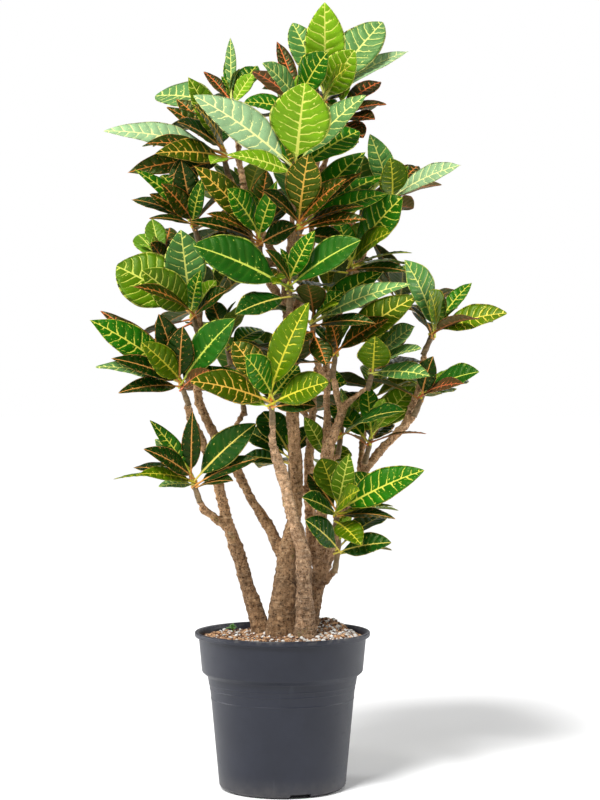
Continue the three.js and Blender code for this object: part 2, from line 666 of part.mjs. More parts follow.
// The other leaves follow the shoot's spiral, steep at the top and spreading lower down
function* spiralAttempts(shoot, order, total, random) {
  const share = (order + 0.5) / total;
  const first = shoot.start + GOLDEN_ANGLE * order;
  const length = mix(...SPIRAL_LENGTHS, Math.sqrt(share)) * mix(...LENGTH_SPREAD, random());
  const slenderness = mix(...SLENDERNESS_SPREAD, random());
  const wave = WAVE * (random() < 0.5 ? -1 : 1);
  const sideways = new THREE.Vector3(1, 0, 0);
  sideways.addScaledVector(shoot.axis, -sideways.dot(shoot.axis)).normalize();
  const forwards = shoot.axis.clone().cross(sideways);
  for (const scale of SPIRAL_SCALES) {
    for (const turn of SPIRAL_TURNS) {
      for (const dip of SPIRAL_DIPS) {
        const polar = degrees(mix(...SPIRAL_ANGLES, share) + dip);
        const round = degrees(first + turn);
        const flat = along(sideways.clone().multiplyScalar(Math.cos(round)), forwards, Math.sin(round));
        const direction = along(flat.multiplyScalar(Math.sin(polar)), shoot.axis, Math.cos(polar));
        const root = rootOf(shoot, direction);
        const tip = along(root, direction, length * scale);
        yield { root, tip, up: shoot.axis, wave, width: slenderness * length * scale };
      }
    }
  }
}

// Where the front view shows a point, as x and z at the plant's middle
function seen({ x, y, z }) {
  const scale = VIEW_DISTANCE / (VIEW_DISTANCE + y);
  return new THREE.Vector3(VIEW_X + (x - VIEW_X) * scale, 0, VIEW_Z + (z - VIEW_Z) * scale);
}

// Distance in the front view from a point to a leaf's middle line
function frontDistance(point, leaf) {
  const line = new THREE.Line3(seen(leaf.root), seen(leaf.tip));
  const flat = seen(point);
  return line.closestPointToPoint(flat, true, new THREE.Vector3()).distanceTo(flat);
}

// Whether a leaf stays near the known leaves or the shoots, clear of the gaps, and hides no known leaf
function suitsFront(leaf, known, shoots) {
  return REACHES.every(([share, leafReach, shootReach]) => {
    const point = leaf.root.clone().lerp(leaf.tip, share);
    const flat = seen(point);
    const inside = known.some((other) => frontDistance(point, other) < leafReach)
      || shoots.some(({ place }) => seen(place).distanceTo(flat) < shootReach);
    const inGap = GAPS.some(([x, z, radius]) => (
      Math.hypot(flat.x - x, flat.z - z) < radius + leaf.width / 2 * (1 - share)
    ));
    const hides = known.some((other) => (
      point.y < other.middle.y && frontDistance(point, other) < HIDING_REACH
    ));
    return inside && !inGap && !hides;
  });
}

// Pot
function potGeometry() {
  const outside = [
    [0, 0], [FOOT_RADIUS - FOOT_CHAMFER[0], 0], [FOOT_RADIUS, FOOT_CHAMFER[1]],
    [BODY_RADIUS, BODY_TOP], [NECK_RADIUS, NECK_TOP], [COLLAR_RADIUS, COLLAR_BOTTOM],
    [MOUTH_RADIUS, POT_HEIGHT - LIP_HEIGHT], [RIM_RADIUS, POT_HEIGHT - LIP_HEIGHT],
    [RIM_RADIUS, POT_HEIGHT - LIP_CHAMFER], [RIM_RADIUS - LIP_CHAMFER, POT_HEIGHT],
    [MOUTH_RADIUS - WALL / 2, POT_HEIGHT],
  ];
  const inside = [
    [MOUTH_RADIUS - WALL, POT_HEIGHT - 2 * LIP_CHAMFER], [COLLAR_RADIUS - WALL, COLLAR_BOTTOM + WALL],
    [NECK_RADIUS - WALL, NECK_TOP + WALL], [BODY_RADIUS - WALL, BODY_TOP],
    [FOOT_RADIUS - WALL, FLOOR_EDGE], [FLOOR_EDGE_RADIUS, FLOOR_EDGE], [FLOOR_RADIUS, FLOOR], [0, FLOOR],
  ];
  const profile = [...outside, ...inside].map(([radius, z]) => new THREE.Vector2(radius, z));
  const lathe = new THREE.LatheGeometry(profile, POT_FACETS);
  lathe.rotateX(Math.PI / 2);
  let pot = toSolid(lathe);
  for (let i = 0; i < DRAIN_COUNT; i += 1) {
    const turn = degrees(DRAIN_FIRST + 360 * i / DRAIN_COUNT);
    const channel = new THREE.BoxGeometry(2 * DRAIN_REACH, DRAIN_WIDTH, 2 * DRAIN_HEIGHT);
    channel.translate(FOOT_RADIUS, 0, 0);
    channel.rotateZ(turn);
    const hole = new THREE.CylinderGeometry(DRAIN_HOLE, DRAIN_HOLE, 2 * DRAIN_HOLE_REACH, DRAIN_HOLE_FACETS);
    hole.rotateX(Math.PI / 2);
    hole.translate(FOOT_RADIUS - DRAIN_HOLE_INSET, 0, 0);
    hole.rotateZ(turn);
    pot = pot.subtract(toSolid(channel)).subtract(toSolid(hole));
  }
  return toGeometry(pot);
}

// Soil
function soilHeight(x, y, random) {
  let height = SOIL_LEVEL + SOIL_ROUGHNESS * (2 * random() - 1);
  for (const [moundX, moundY, rise, spread] of MOUNDS) {
    height += rise * Math.exp(-((x - moundX) ** 2 + (y - moundY) ** 2) / (2 * spread ** 2));
  }
  return height;
}

function soilGeometry() {
  const random = randomFrom(SOIL_SEED);
  const gap = SOIL_CLEARANCE;
  const wallRings = [
    [FLOOR_RADIUS - gap, FLOOR + gap], [FLOOR_EDGE_RADIUS - gap, FLOOR_EDGE + gap],
    [FOOT_RADIUS - WALL - gap, FLOOR_EDGE + gap], [BODY_RADIUS - WALL - gap, BODY_TOP],
    [NECK_RADIUS - WALL - gap, NECK_TOP + WALL], [COLLAR_RADIUS - WALL - gap, COLLAR_BOTTOM + WALL + gap],
  ];
  const ringOf = (radius, heightAt) => {
    const ring = [];
    for (let k = 0; k < POT_FACETS; k += 1) {
      const angle = 2 * Math.PI * k / POT_FACETS;
      const [x, y] = [radius * Math.cos(angle), radius * Math.sin(angle)];
      ring.push(new THREE.Vector3(x, y, heightAt(x, y)));
    }
    return ring;
  };
  const rings = wallRings.map(([radius, z]) => ringOf(radius, () => z));
  SOIL_RINGS.forEach((radius) => rings.push(ringOf(radius, (x, y) => soilHeight(x, y, random))));
  rings.push([new THREE.Vector3(0, 0, soilHeight(0, 0, random))]);
  let soil = toSolid(loft(rings));
  for (const name of ['left', 'middle', 'front', 'right_out']) {
    soil = soil.subtract(toSolid(branchTube(name, HOLE_CLEARANCE)));
  }
  soil = soil.subtract(toSolid(weedStem(HOLE_CLEARANCE)));
  return toGeometry(soil);
}

// Weed sprout: a thin stem with a whorl of small leaves
function weedStem(clearance = 0) {
  const foot = vector(WEED_PLACE);
  foot.z -= clearance;
  const line = new THREE.LineCurve3(foot, vector(WEED_PLACE).setZ(WEED_PLACE[2] + WEED_HEIGHT));
  return tube(line, () => WEED_STEM_RADIUS + clearance, 4, 1);
}

function weedGeometry() {
  const top = vector(WEED_PLACE).setZ(WEED_PLACE[2] + WEED_HEIGHT - 2 * WEED_LEAF_THICKNESS);
  const up = new THREE.Vector3(0, 0, 1);
  const thick = WEED_LEAF_THICKNESS / 2;
  const solids = [toSolid(weedStem())];
  for (let i = 0; i < WEED_LEAVES; i += 1) {
    const turn = 2 * Math.PI * (i + WEED_LEAF_TURN) / WEED_LEAVES;
    const outwards = new THREE.Vector3(Math.cos(turn), Math.sin(turn), WEED_LEAF_RISE);
    const side = up.clone().cross(outwards).normalize();
    const tip = along(top, outwards, WEED_LEAF);
    const rings = WEED_STATIONS.map(([share, half]) => {
      const centre = top.clone().lerp(tip, share);
      return [
        along(centre, side, -half), along(centre, up, -thick),
        along(centre, side, half), along(centre, up, thick),
      ];
    });
    solids.push(toSolid(loft([...rings, [tip]])));
  }
  return toGeometry(joined(solids));
}

// Wood and shoots
const trunks = {};
for (const [name, branch] of Object.entries(BRANCHES)) {
  (trunks[branch.trunk] ||= []).push(toSolid(branchTube(name)));
}
const placed = [];
for (const shoot of shoots) {
  if (shoot.height) trunks[BRANCHES[shoot.branch].trunk].push(toSolid(twigTube(shoot)));
  const stemCurve = new THREE.LineCurve3(
    along(shoot.place, shoot.axis, -STEM_BELOW), along(shoot.place, shoot.axis, STEM_ABOVE),
  );
  const stem = toSolid(tube(stemCurve, (t) => mix(TWIG_RADIUS, STEM_TIP_RADIUS, t), STEM_SIDES, 1));
  shoot.solids.push(stem);
  placed.push({ shoot: shoot.name, stem: true, solid: stem, box: boxOf(stem) });
}
for (const pieces of Object.values(trunks)) {
  pieces.forEach((solid) => placed.push({ shoot: '', solid, box: boxOf(solid) }));
}

function place(shoot, leaf) {
  const solid = leafSolid(leaf);
  shoot.solids.push(solid);
  placed.push({ shoot: shoot.name, solid, box: boxOf(solid) });
}

// The known leaves come first, then the spirals fill what they leave free
const known = [];
for (const shoot of shoots) {
  for (const entry of shoot.leaves) {
    const leaf = firstClear(knownAttempts(shoot, entry, random), shoot.name, placed);
    if (leaf) {
      place(shoot, leaf);
      known.push({ ...leaf, middle: leaf.root.clone().lerp(leaf.tip, BLADE_MIDDLE) });
    }
  }
}
for (const shoot of shoots) {
  const total = shoot.count - shoot.leaves.length;
  for (let order = 0; order < total; order += 1) {
    const attempts = [...spiralAttempts(shoot, order, total, random)];
    const suited = attempts.filter((leaf) => suitsFront(leaf, known, shoots));
    const leaf = firstClear(suited, shoot.name, placed);
    if (leaf) place(shoot, leaf);
  }
}

const plant = new THREE.Group();

function addPiece(name, geometry, colour, roughness) {
  const material = new THREE.MeshStandardMaterial({ color: colour, roughness, metalness: 0 });
  const mesh = new THREE.Mesh(geometry, material);
  mesh.name = name;
  plant.add(mesh);
}

addPiece('pot', potGeometry(), '#3d414b', 0.5);
addPiece('soil', soilGeometry(), '#5a4332', 0.95);
addPiece('weed_sprout', weedGeometry(), '#6f9a45', 0.5);
for (const [name, pieces] of Object.entries(trunks)) {
  addPiece(name, toGeometry(joined(pieces)), BARK, 0.85);
}
shoots.forEach((shoot, i) => {
  const colour = LEAF_COLOURS[i % LEAF_COLOURS.length];
  addPiece(`shoot_${shoot.name}`, toGeometry(joined(shoot.solids)), colour, 0.35);
});

export default plant;
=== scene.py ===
import math
import random

import bmesh
import bpy
import numpy as np
from mathutils import Matrix, Vector, noise


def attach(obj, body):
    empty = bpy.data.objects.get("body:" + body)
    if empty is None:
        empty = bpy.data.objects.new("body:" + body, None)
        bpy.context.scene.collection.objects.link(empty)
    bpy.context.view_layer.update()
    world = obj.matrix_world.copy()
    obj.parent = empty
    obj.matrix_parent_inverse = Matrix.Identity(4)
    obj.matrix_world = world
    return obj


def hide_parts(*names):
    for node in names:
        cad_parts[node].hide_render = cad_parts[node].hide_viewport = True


MM = 0.001

# Camera and light
CAMERA_PLACE = (0.027, -2.9, 0.596)
CAMERA_LENS = 84.6
FLOOR_SIZE = 60
FLOOR_DEPTH = 0.5 * MM
PLANT_MIDDLE = (0.03, 0, 0.7)
# How bright the world looks, and how much light it sheds
BACKGROUND = 1.0
SKY_LIGHT = 0.26
# Each light's name, kind, place and power, and a disk's width or a sun's angle
LIGHTS = (
    ("key_sun", "SUN", (-1.1, -2.2, 3.8), 3.2, math.radians(16)),
    ("softbox_left", "AREA", (-1.5, -2.1, 2.3), 14, 1.2),
    ("rim_left", "AREA", (-2.3, 0.5, 0.8), 30, 1.2),
    ("rim_right", "AREA", (2.4, 0.4, 0.9), 26, 1.2),
    ("fill_back", "AREA", (0.7, 2.7, 2.1), 15, 1.6),
)

# Leaves of the solids: the shares of a leaf's length where its stalk ends and its two rings lie, and
# the lower ring's half width as a share of the leaf's width
STALK_END = 0.16
LOWER_RING = 0.46
UPPER_RING = 0.78
LOWER_HALF = 0.47
# Leaves here: a blade's points lie in COLUMNS across it and in rows that follow its side veins
FOLD = 0.2
BLADE_THICKNESS = 0.9 * MM
STALK_RADIUS = (1.9 * MM, 1.4 * MM)
MIDRIB_DEPTH = 0.4 * MM
VEIN_DEPTH = 0.8 * MM
VEIN_RISE = 0.34
ROWS_PER_VEIN = 4
VEIN_PAIRS = 5
PAIR_PER_LENGTH = 35 * MM
COLUMNS = (-1, -0.8, -0.57, -0.33, -0.07, 0, 0.07, 0.33, 0.57, 0.8, 1)
STALK_ROWS = (0.0, 0.04, 0.08, 0.12, 0.15)

# Stems of the shoots, measured from the shoot's place along its axis
SOLID_STEM_SIDES = 4
STEM_SIDES = 12
STEM_ROWS = 20
STEM_BELOW = 34 * MM
STEM_OVERLAP = 7 * MM
STEM_TOP = 13 * MM
STEM_RADII = (4.8 * MM, 3.4 * MM)

# Wood, with its rings of old leaf scars SCAR_SPACING millimetres apart
WOOD_GRID = 2.2 * MM
WOOD_SMOOTHING = 40
SCAR_SPACING = 11
# The wood is stouter low down, and its foot swells: the top of each stretch, and how long it grows
STOUT_TOP = (430 * MM, 130 * MM)
FOOT_TOP = (258 * MM, 30 * MM)
# The heights between which painted shade low on the bark turns to painted light higher up, and how much
# light the bark keeps below and above them
PAINTED_LIGHT_HEIGHTS = (0.31, 0.46)
PAINTED_BARK_LIGHT = (0.72, 1.5)
# The tone (sRGB) that multiplies each trunk's bark
BARK_TONES = {
    "trunk_left": (246, 232, 208),
    "trunk_middle": (230, 216, 192),
    "trunk_front": (255, 246, 232),
    "trunk_right": (242, 228, 206),
}

# Pot, in millimetres. Its profile runs from the middle of its foot over its lip to its floor.
POT_PROFILE = [
    (0, 0), (91.5, 0), (97.5, 5), (109.9, 136.5), (110.9, 138), (110.3, 139.4), (111.5, 151.2),
    (112.6, 152.6), (112.2, 154), (113, 159.2), (114, 160.4), (113.8, 162), (115.5, 172),
    (124, 179), (129, 231.6), (135, 232.4), (135, 238.8), (133.8, 240), (130.5, 240),
    (127, 236), (122.8, 184), (113.3, 173), (109.8, 152), (95.3, 10), (72, 9), (66, 3.5), (0, 3.5),
]
POT_ROUNDING = 2.2
POT_SIDES = 128
POT_CREASE = 38
# Its drains: each a channel under the foot, of this size, and a hole at the channel's inner end
DRAIN_COUNT = 3
DRAIN_FIRST = -73
CHANNEL_SIZE = (40, 32, 13)
CHANNEL_MIDDLE = 98.5
DRAIN_HOLE_RADIUS = 4.5
DRAIN_HOLE_MIDDLE = 85.5

# Soil, in millimetres: its profile below its top
SOIL_WALL = [(0, 3.8), (65.5, 3.8), (71.5, 9.3), (94.3, 10.4), (109.3, 152), (112.8, 173.4), (122.3, 184.4)]
SOIL_LEVEL = 229
SOIL_RADIUS = 126
SOIL_RINGS = 64
SOIL_SIDES = 220
# Mounds round the trunks: x, y, height and spread
MOUNDS = ((28, 40, 9, 45), (70, 74, 18, 20), (-95, 20, 4, 16))
# Where the trunks stand in it: x, y and radius, and the level of the soil under them
TRUNK_FEET = ((-33, 44, 13.8), (-1, 12, 22.6), (35, -13, 15.6), (40, 50, 14))
TRUNK_PIT = 184
# The heap of dark peat: x, y and radius, and how far it keeps loose grains away
DARK_PEAT = (70, 74, 34)
PEAT_SPREAD = 24

# Sprout, in millimetres. A whorl is its height, the length of its leaves and their number.
WEED_FOOT = (-80, 78, 216)
WEED_HEIGHT = 22
WEED_SIDES = 8
WEED_WHORLS = ((15, 11, 4), (19, 9, 4), (22, 5.5, 3))

# Colours of a leaf's blade, its veins and its margin (sRGB, 0 to 255), how far its coloured veins
# run from the midrib to the margin, and how many flecks it has. The palest, whitish blades carry a painted
# reflection of the sky as well as their own colour.
LOOKS = {
    "fresh": ((122, 170, 20), (236, 238, 112), 0.9, 0.25),
    "spring": ((88, 128, 8), (222, 226, 96), 0.85, 0.3),
    "green": ((30, 102, 4), (228, 224, 84), 0.7, 0.35),
    "mint": ((78, 132, 62), (234, 236, 120), 0.8, 0.3),
    # A pale green leaf with cream veins, its blade lightened further by painted sheen
    "pale_sheen": ((98, 146, 80), (240, 242, 136), 1.0, 0.45),
    # A green leaf whose blade is whitened by a painted reflection of the bright sky
    "painted_glare": ((153, 190, 138), (248, 248, 166), 1.0, 0.4),
    "glossy": ((30, 90, 16), (214, 226, 92), 0.12, 0.2),
    "clear": ((92, 138, 20), (216, 222, 104), 0.2, 0.1),
    "deep": ((14, 70, 10), (232, 214, 100), 0.16, 0.3),
    "olive": ((80, 112, 2), (222, 210, 62), 0.5, 0.25),
    "gold": ((84, 116, 2), (242, 222, 84), 1.0, 0.35),
    "amber": ((56, 76, 2), (240, 188, 80), 0.9, 0.4),
    "ember": ((46, 42, 8), (240, 122, 66), 0.5, 0.3),
    "bronze": ((40, 58, 2), (234, 142, 66), 0.4, 0.4),
    "dark": ((12, 50, 4), (232, 162, 84), 0.16, 0.4),
    "brown": ((88, 64, 34), (214, 110, 66), 0.4, 0.1),
}

# The tips (x and z) of the leaves whose look the front view shows
KNOWN_LOOKS = {
    "fresh": [(64, 1193), (109, 1120), (34, 1051), (-79, 950), (-46, 1108), (-106, 948), (-102, 781),
        (-79, 602)],
    "spring": [(-256, 802), (-210, 790), (207, 620), (-142, 1083), (101, 516), (33, 570)],
    "clear": [(-235, 863), (-211, 887)],
    "green": [(116, 998), (102, 622), (68, 1114), (-57, 1043), (126, 971), (161, 908), (158, 941),
        (-89, 1150), (-42, 1130), (-223, 944), (-117, 930), (-81, 909), (-54, 913), (-7, 920), (182, 902),
        (81, 875), (49, 846), (93, 759), (155, 793), (295, 779), (131, 618), (75, 588), (-124, 793),
        (-286, 715), (-53, 660), (-126, 647), (25, 647), (-199, 566), (135, 483), (-77, 706), (-33, 708),
        (213, 491)],
    "mint": [(15, 1180), (-153, 853), (184, 807), (134, 1004), (223, 631)],
    "pale_sheen": [(156, 1182), (-29, 1097), (124, 1043), (-84, 1174), (-207, 1086), (191, 768), (202, 708),
        (-279, 645), (-187, 465), (-200, 535), (210, 673)],
    "painted_glare": [(-129, 1041), (-270, 1002), (272, 953), (196, 1137)],
    "glossy": [(-130, 823), (117, 831), (-69, 717), (296, 638)],
    "deep": [(-61, 548), (-33, 577), (-68, 503), (57, 556), (-68, 721), (184, 579), (30, 450), (164, 382),
        (35, 416), (-40, 560)],
    "olive": [(164, 964), (162, 846), (197, 818), (-13, 765), (84, 738), (139, 692), (221, 760),
        (207, 618), (207, 590), (-207, 681), (-213, 486), (-263, 473), (116, 462), (167, 437), (60, 507),
        (118, 381), (140, 366), (69, 622), (40, 738)],
    "gold": [(207, 755), (102, 1089), (340, 727)],
    "amber": [(39, 956), (-130, 943), (-72, 683), (-132, 623), (-188, 962), (-131, 1034)],
    "ember": [(157, 1104), (159, 1046), (141, 1022), (124, 996), (-127, 1120), (-9, 1153), (-280, 733)],
    "bronze": [(66, 648), (95, 920), (126, 862), (122, 884), (120, 935), (-205, 981), (-236, 942),
        (-180, 919), (-204, 912), (-23, 945), (-111, 870), (214, 967), (11, 677), (160, 718), (70, 719),
        (244, 768), (104, 518), (-218, 762), (-184, 876), (-205, 841), (-165, 1062), (-177, 1043)],
    "dark": [(22, 856), (92, 832), (-148, 706), (-172, 932), (-30, 903), (-86, 1112), (-157, 1013),
        (-237, 909), (-199, 867), (-151, 955), (-105, 855), (-139, 859), (-114, 832), (189, 789),
        (-24, 816), (140, 709), (194, 735), (228, 662), (-83, 763), (-251, 657), (-241, 606), (-117, 670),
        (-185, 725), (-187, 703), (51, 587), (-17, 662), (-135, 579), (-206, 523), (-34, 508), (-73, 474),
        (-234, 490), (170, 418), (-116, 755), (40, 482)],
    "brown": [(-46, 1099), (253, 938), (205, 896), (293, 716), (270, 620), (218, 545), (91, 546),
        (-107, 640)],
}
SAME_TIP = 4 * MM
# The small new leaves round a bud: length in millimetres, and degrees from the shoot's axis
YOUNG_LEAVES = ((60, 27), (46, 19), (32, 11))
# Degrees from one leaf of a shoot to the next
GOLDEN_ANGLE = 137.5

# What the other leaves look like. A leaf is young, grown or old by its angle from the shoot's axis.
YOUNG = ("fresh", "green", "glossy", "mint", "olive", "green")
GROWN = ("green", "deep", "dark", "olive", "bronze", "green", "dark")
OLD = ("dark", "bronze", "deep", "olive", "amber", "brown", "dark")
YOUNG_UP_TO = 42
GROWN_UP_TO = 78


def linear(colour, alpha=1.0):
    """An sRGB colour from 0 to 255 as the linear colour that a shader takes."""
    shares = [c / 255 for c in colour]
    light = [c / 12.92 if c <= 0.04045 else ((c + 0.055) / 1.055) ** 2.4 for c in shares]
    return (*light, alpha)


def unit(vectors):
    return vectors / np.linalg.norm(vectors, axis=-1, keepdims=True)


def smooth_step(low, high, value):
    share = np.clip((value - low) / (high - low), 0, 1)
    return share * share * (3 - 2 * share)


class Graph:
    """Builds one material's nodes. A value is a number, a colour or another node's output."""

    def __init__(self, name):
        self.material = bpy.data.materials.new(name)
        self.material.use_nodes = True
        self.tree = self.material.node_tree
        self.tree.nodes.clear()

    def put(self, socket, value):
        if isinstance(value, bpy.types.NodeSocket):
            self.tree.links.new(value, socket)
        else:
            socket.default_value = value

    def node(self, kind, values=None, **settings):
        made = self.tree.nodes.new(kind)
        for key, value in settings.items():
            setattr(made, key, value)
        for key, value in (values or {}).items():
            self.put(made.inputs[key], value)
        return made

    def math(self, operation, *values):
        made = self.node("ShaderNodeMath", operation=operation)
        for socket, value in zip(made.inputs, values):
            self.put(socket, value)
        return made.outputs[0]

    def times(self, a, b):
        return self.math("MULTIPLY", a, b)

    def mix(self, share, a, b, blend="MIX"):
        made = self.node("ShaderNodeMix", data_type="RGBA", blend_type=blend)
        for index, value in ((0, share), (6, a), (7, b)):
            self.put(made.inputs[index], value)
        return made.outputs[2]

    def tint(self, base, mask, amount, colour):
        """Covers the base where the mask is 1 with this amount of an sRGB colour."""
        return self.mix(self.times(mask, amount), base, linear(colour))

    def step(self, value, low, high):
        """0 below low, 1 above high, smooth between. With low above high it falls instead."""
        values = {"Value": value, "From Min": low, "From Max": high}
        return self.node("ShaderNodeMapRange", values, interpolation_type="SMOOTHSTEP").outputs[0]

    def between(self, value, low, high):
        values = {"Value": value, "To Min": low, "To Max": high}
        return self.node("ShaderNodeMapRange", values).outputs[0]

    def place(self, scale=(1, 1, 1)):
        """The object's own coordinates, in metres."""
        coordinates = self.node("ShaderNodeTexCoord").outputs["Object"]
        values = {"Vector": coordinates, "Scale": scale}
        return self.node("ShaderNodeMapping", values).outputs[0]

    def vector(self, x, y, z):
        return self.node("ShaderNodeCombineXYZ", {"X": x, "Y": y, "Z": z}).outputs[0]

    def noise(self, vector, scale, detail=3.0, roughness=0.55):
        values = {"Vector": vector, "Scale": scale, "Detail": detail, "Roughness": roughness}
        return self.node("ShaderNodeTexNoise", values).outputs[0]

    def cells(self, vector, scale, feature="F1"):
        values = {"Vector": vector, "Scale": scale}
        return self.node("ShaderNodeTexVoronoi", values, feature=feature)

    def grey(self, value):
        return self.node("ShaderNodeCombineColor", {0: value, 1: value, 2: value}).outputs[0]

    def ramp(self, value, stops):
        made = self.node("ShaderNodeValToRGB", {"Fac": value})
        elements = made.color_ramp.elements
        while len(elements) < len(stops):
            elements.new(1.0)
        for element, (position, colour) in zip(elements, stops):
            element.position = position
            element.color = linear(colour)
        return made.outputs[0]

    def attribute(self, name, output="Vector"):
        return self.node("ShaderNodeAttribute", attribute_name=name).outputs[output]

    def parts(self, vector):
        return self.node("ShaderNodeSeparateXYZ", {"Vector": vector}).outputs

    def surface(self, colour, roughness, height=None, distance=0.0005, strength=1.0, **more):
        """Ends the material in a Principled shader with bump from a height in units of distance."""
        values = {"Base Color": colour, "Roughness": roughness}
        if height is not None:
            bump = {"Height": height, "Distance": distance, "Strength": strength}
            values["Normal"] = self.node("ShaderNodeBump", bump).outputs[0]
        shader = self.node("ShaderNodeBsdfPrincipled", values)
        for key, value in more.items():
            shader.inputs[key.replace("_", " ")].default_value = value
        self.node("ShaderNodeOutputMaterial", {"Surface": shader.outputs[0]})
        return self.material


# Materials


def leaf_material(name, under):
    """A leaf's face. Its mesh carries leaf_place (number of the side vein, share across, share along),
    leaf_chart (millimetres across and along, seed), leaf_traits (reach of the coloured veins, flecks,
    stalk or blade), and the colours leaf_tissue and leaf_rib, whose alpha is half the midrib's width
    in millimetres at its foot."""
    g = Graph(name)
    number, across, along = g.parts(g.attribute("leaf_place"))
    chart = g.attribute("leaf_chart")
    x_mm, _, seed = g.parts(chart)
    reach, flecks, blade = g.parts(g.attribute("leaf_traits"))
    tissue = g.attribute("leaf_tissue", "Color")
    rib = g.attribute("leaf_rib", "Color")
    rib_half = g.attribute("leaf_rib", "Alpha")

    side = g.math("GREATER_THAN", across, 0.0)
    out = g.math("ABSOLUTE", across)
    wobble = g.math("MULTIPLY_ADD", g.noise(chart, 0.06, 2.0), 0.7, -0.35)
    number = g.math("ADD", g.math("MULTIPLY_ADD", side, 0.5, number), wobble)
    from_vein = g.math("PINGPONG", number, 0.5)
    which = g.vector(g.math("FLOOR", g.math("ADD", number, 0.5)), side, seed)
    luck = g.node("ShaderNodeTexWhiteNoise", {"Vector": which}).outputs[0]

    # Each coloured side vein runs to its own length and thins towards the margin
    own_reach = g.times(reach, g.between(luck, 0.45, 1.6))
    runs = g.step(g.math("SUBTRACT", out, own_reach), 0.02, -0.12)
    foot = g.times(g.step(out, 0.22, 0.0), reach)
    width = g.math("ADD", foot, g.math("MULTIPLY_ADD", out, -0.4, 1.1))
    line = g.step(g.math("DIVIDE", from_vein, g.times(width, 0.062)), 1.3, 0.6)
    streak = g.vector(g.times(number, 1.5), g.times(out, 3.2), seed)
    broken = g.step(g.math("MULTIPLY_ADD", reach, 0.1, g.noise(streak, 1.4, 2.0)), 0.4, 0.48)
    veins = g.times(g.times(line, runs), broken)

    # Flecks of the vein colour lie beside the side veins
    apart = g.node("ShaderNodeVectorMath", {0: streak, 1: (7, 3, 5)}).outputs[0]
    fleck = g.step(g.math("MULTIPLY_ADD", flecks, 0.11, g.noise(apart, 2.3, 2.0)), 0.71, 0.74)

    rib_width = g.between(along, rib_half, g.times(rib_half, 0.28))
    midrib = g.step(g.math("DIVIDE", g.math("ABSOLUTE", x_mm), rib_width), 1.0, 0.6)
    margin = g.step(out, 0.935, 0.965)
    coloured = g.math("MAXIMUM", g.math("MAXIMUM", veins, fleck), g.math("MAXIMUM", midrib, margin))
    coloured = g.math("MAXIMUM", g.times(coloured, blade), g.step(blade, 0.9, 0.2))

    shade = g.between(g.noise(chart, 0.045), 0.62, 1.38)
    body = g.mix(1.0, tissue, g.grey(shade), "MULTIPLY")
    near = g.times(g.step(from_vein, 0.32, 0.05), g.step(out, 0.95, 0.1))
    paler = g.mix(0.5, body, rib, "SCREEN")
    body = g.mix(g.times(near, 0.05), body, paler)
    net = g.cells(chart, 0.55, "DISTANCE_TO_EDGE").outputs[0]
    net_line = g.step(net, 0.1, 0.02)
    darker = g.mix(1.0, body, linear((168, 168, 150)), "MULTIPLY")
    body = g.mix(g.times(net_line, 0.25), body, darker)
    if under:
        body = g.mix(0.3, body, linear((92, 92, 46)))
        rib = g.mix(0.25, rib, linear((190, 120, 90)))
        strength, gloss = 0.5, 0.52
    else:
        strength, gloss = 0.95, 0.3
    colour = g.mix(g.times(coloured, strength), body, rib)
    quilt = g.times(g.step(from_vein, 0.0, 0.24), 0.9)
    height = g.math("MULTIPLY_ADD", g.noise(chart, 0.5), 0.6, quilt)
    height = g.math("MULTIPLY_ADD", net_line, -0.12, height)
    rough = g.between(g.noise(chart, 0.12), gloss - 0.06, gloss + 0.14)
    return g.surface(colour, rough, height, 0.0006, 0.7, Specular_IOR_Level=0.3,
                     Specular_Tint=(0.8, 1, 0.4, 1))


def bark_material(name, tone):
    """Pale bark, mottled and speckled, with dark pits and cracks and a little algae and lichen, and painted
    shade low down that turns to painted light higher up.
    """
    g = Graph(name)
    place = g.place()
    upright = g.place((1, 1, 0.55))
    flat = g.place((0.4, 0.4, 1.3))
    base = g.ramp(g.noise(upright, 190, 7, 0.72), [
        (0.32, (88, 66, 48)), (0.45, (146, 118, 92)), (0.56, (184, 154, 126)), (0.7, (222, 198, 172)),
    ])
    clouds = g.between(g.noise(place, 62), 0.3, 1.68)
    base = g.mix(1.0, base, g.grey(clouds), "MULTIPLY")
    bands = g.step(g.noise(flat, 170, 4, 0.6), 0.54, 0.66)
    base = g.tint(base, bands, 0.5, (224, 200, 176))
    cracks = g.step(g.noise(flat, 330, 4, 0.7), 0.43, 0.35)
    base = g.tint(base, cracks, 0.6, (70, 50, 38))
    specks = g.step(g.noise(place, 800, 2), 0.58, 0.66)
    base = g.tint(base, specks, 0.45, (226, 206, 184))
    pits = g.step(g.cells(place, 210).outputs[0], 0.26, 0.14)
    base = g.tint(base, pits, 0.8, (44, 30, 22))
    algae = g.times(g.step(g.noise(place, 24), 0.6, 0.7), g.step(g.noise(place, 260, 2), 0.5, 0.62))
    base = g.tint(base, algae, 0.4, (122, 128, 66))
    lichen = g.step(g.noise(place, 70), 0.7, 0.76)
    base = g.tint(base, lichen, 0.4, (188, 192, 174))
    base = g.mix(1.0, base, linear(tone), "MULTIPLY")
    # Painted shade and light: the bark is darker low down and paler higher up, by height
    _, _, z = g.parts(place)
    base = g.mix(1.0, base, g.grey(g.between(g.step(z, *PAINTED_LIGHT_HEIGHTS), *PAINTED_BARK_LIGHT)), "MULTIPLY")
    grain = g.math("MULTIPLY_ADD", g.noise(place, 700), 0.4, g.noise(upright, 300, 6, 0.7))
    height = g.math("MULTIPLY_ADD", cracks, -0.5, g.math("MULTIPLY_ADD", bands, 0.4, grain))
    height = g.math("MULTIPLY_ADD", pits, -0.6, height)
    rough = g.between(g.noise(place, 150), 0.74, 0.95)
    return g.surface(base, rough, height, 0.002, 1.0, Specular_IOR_Level=0.25)


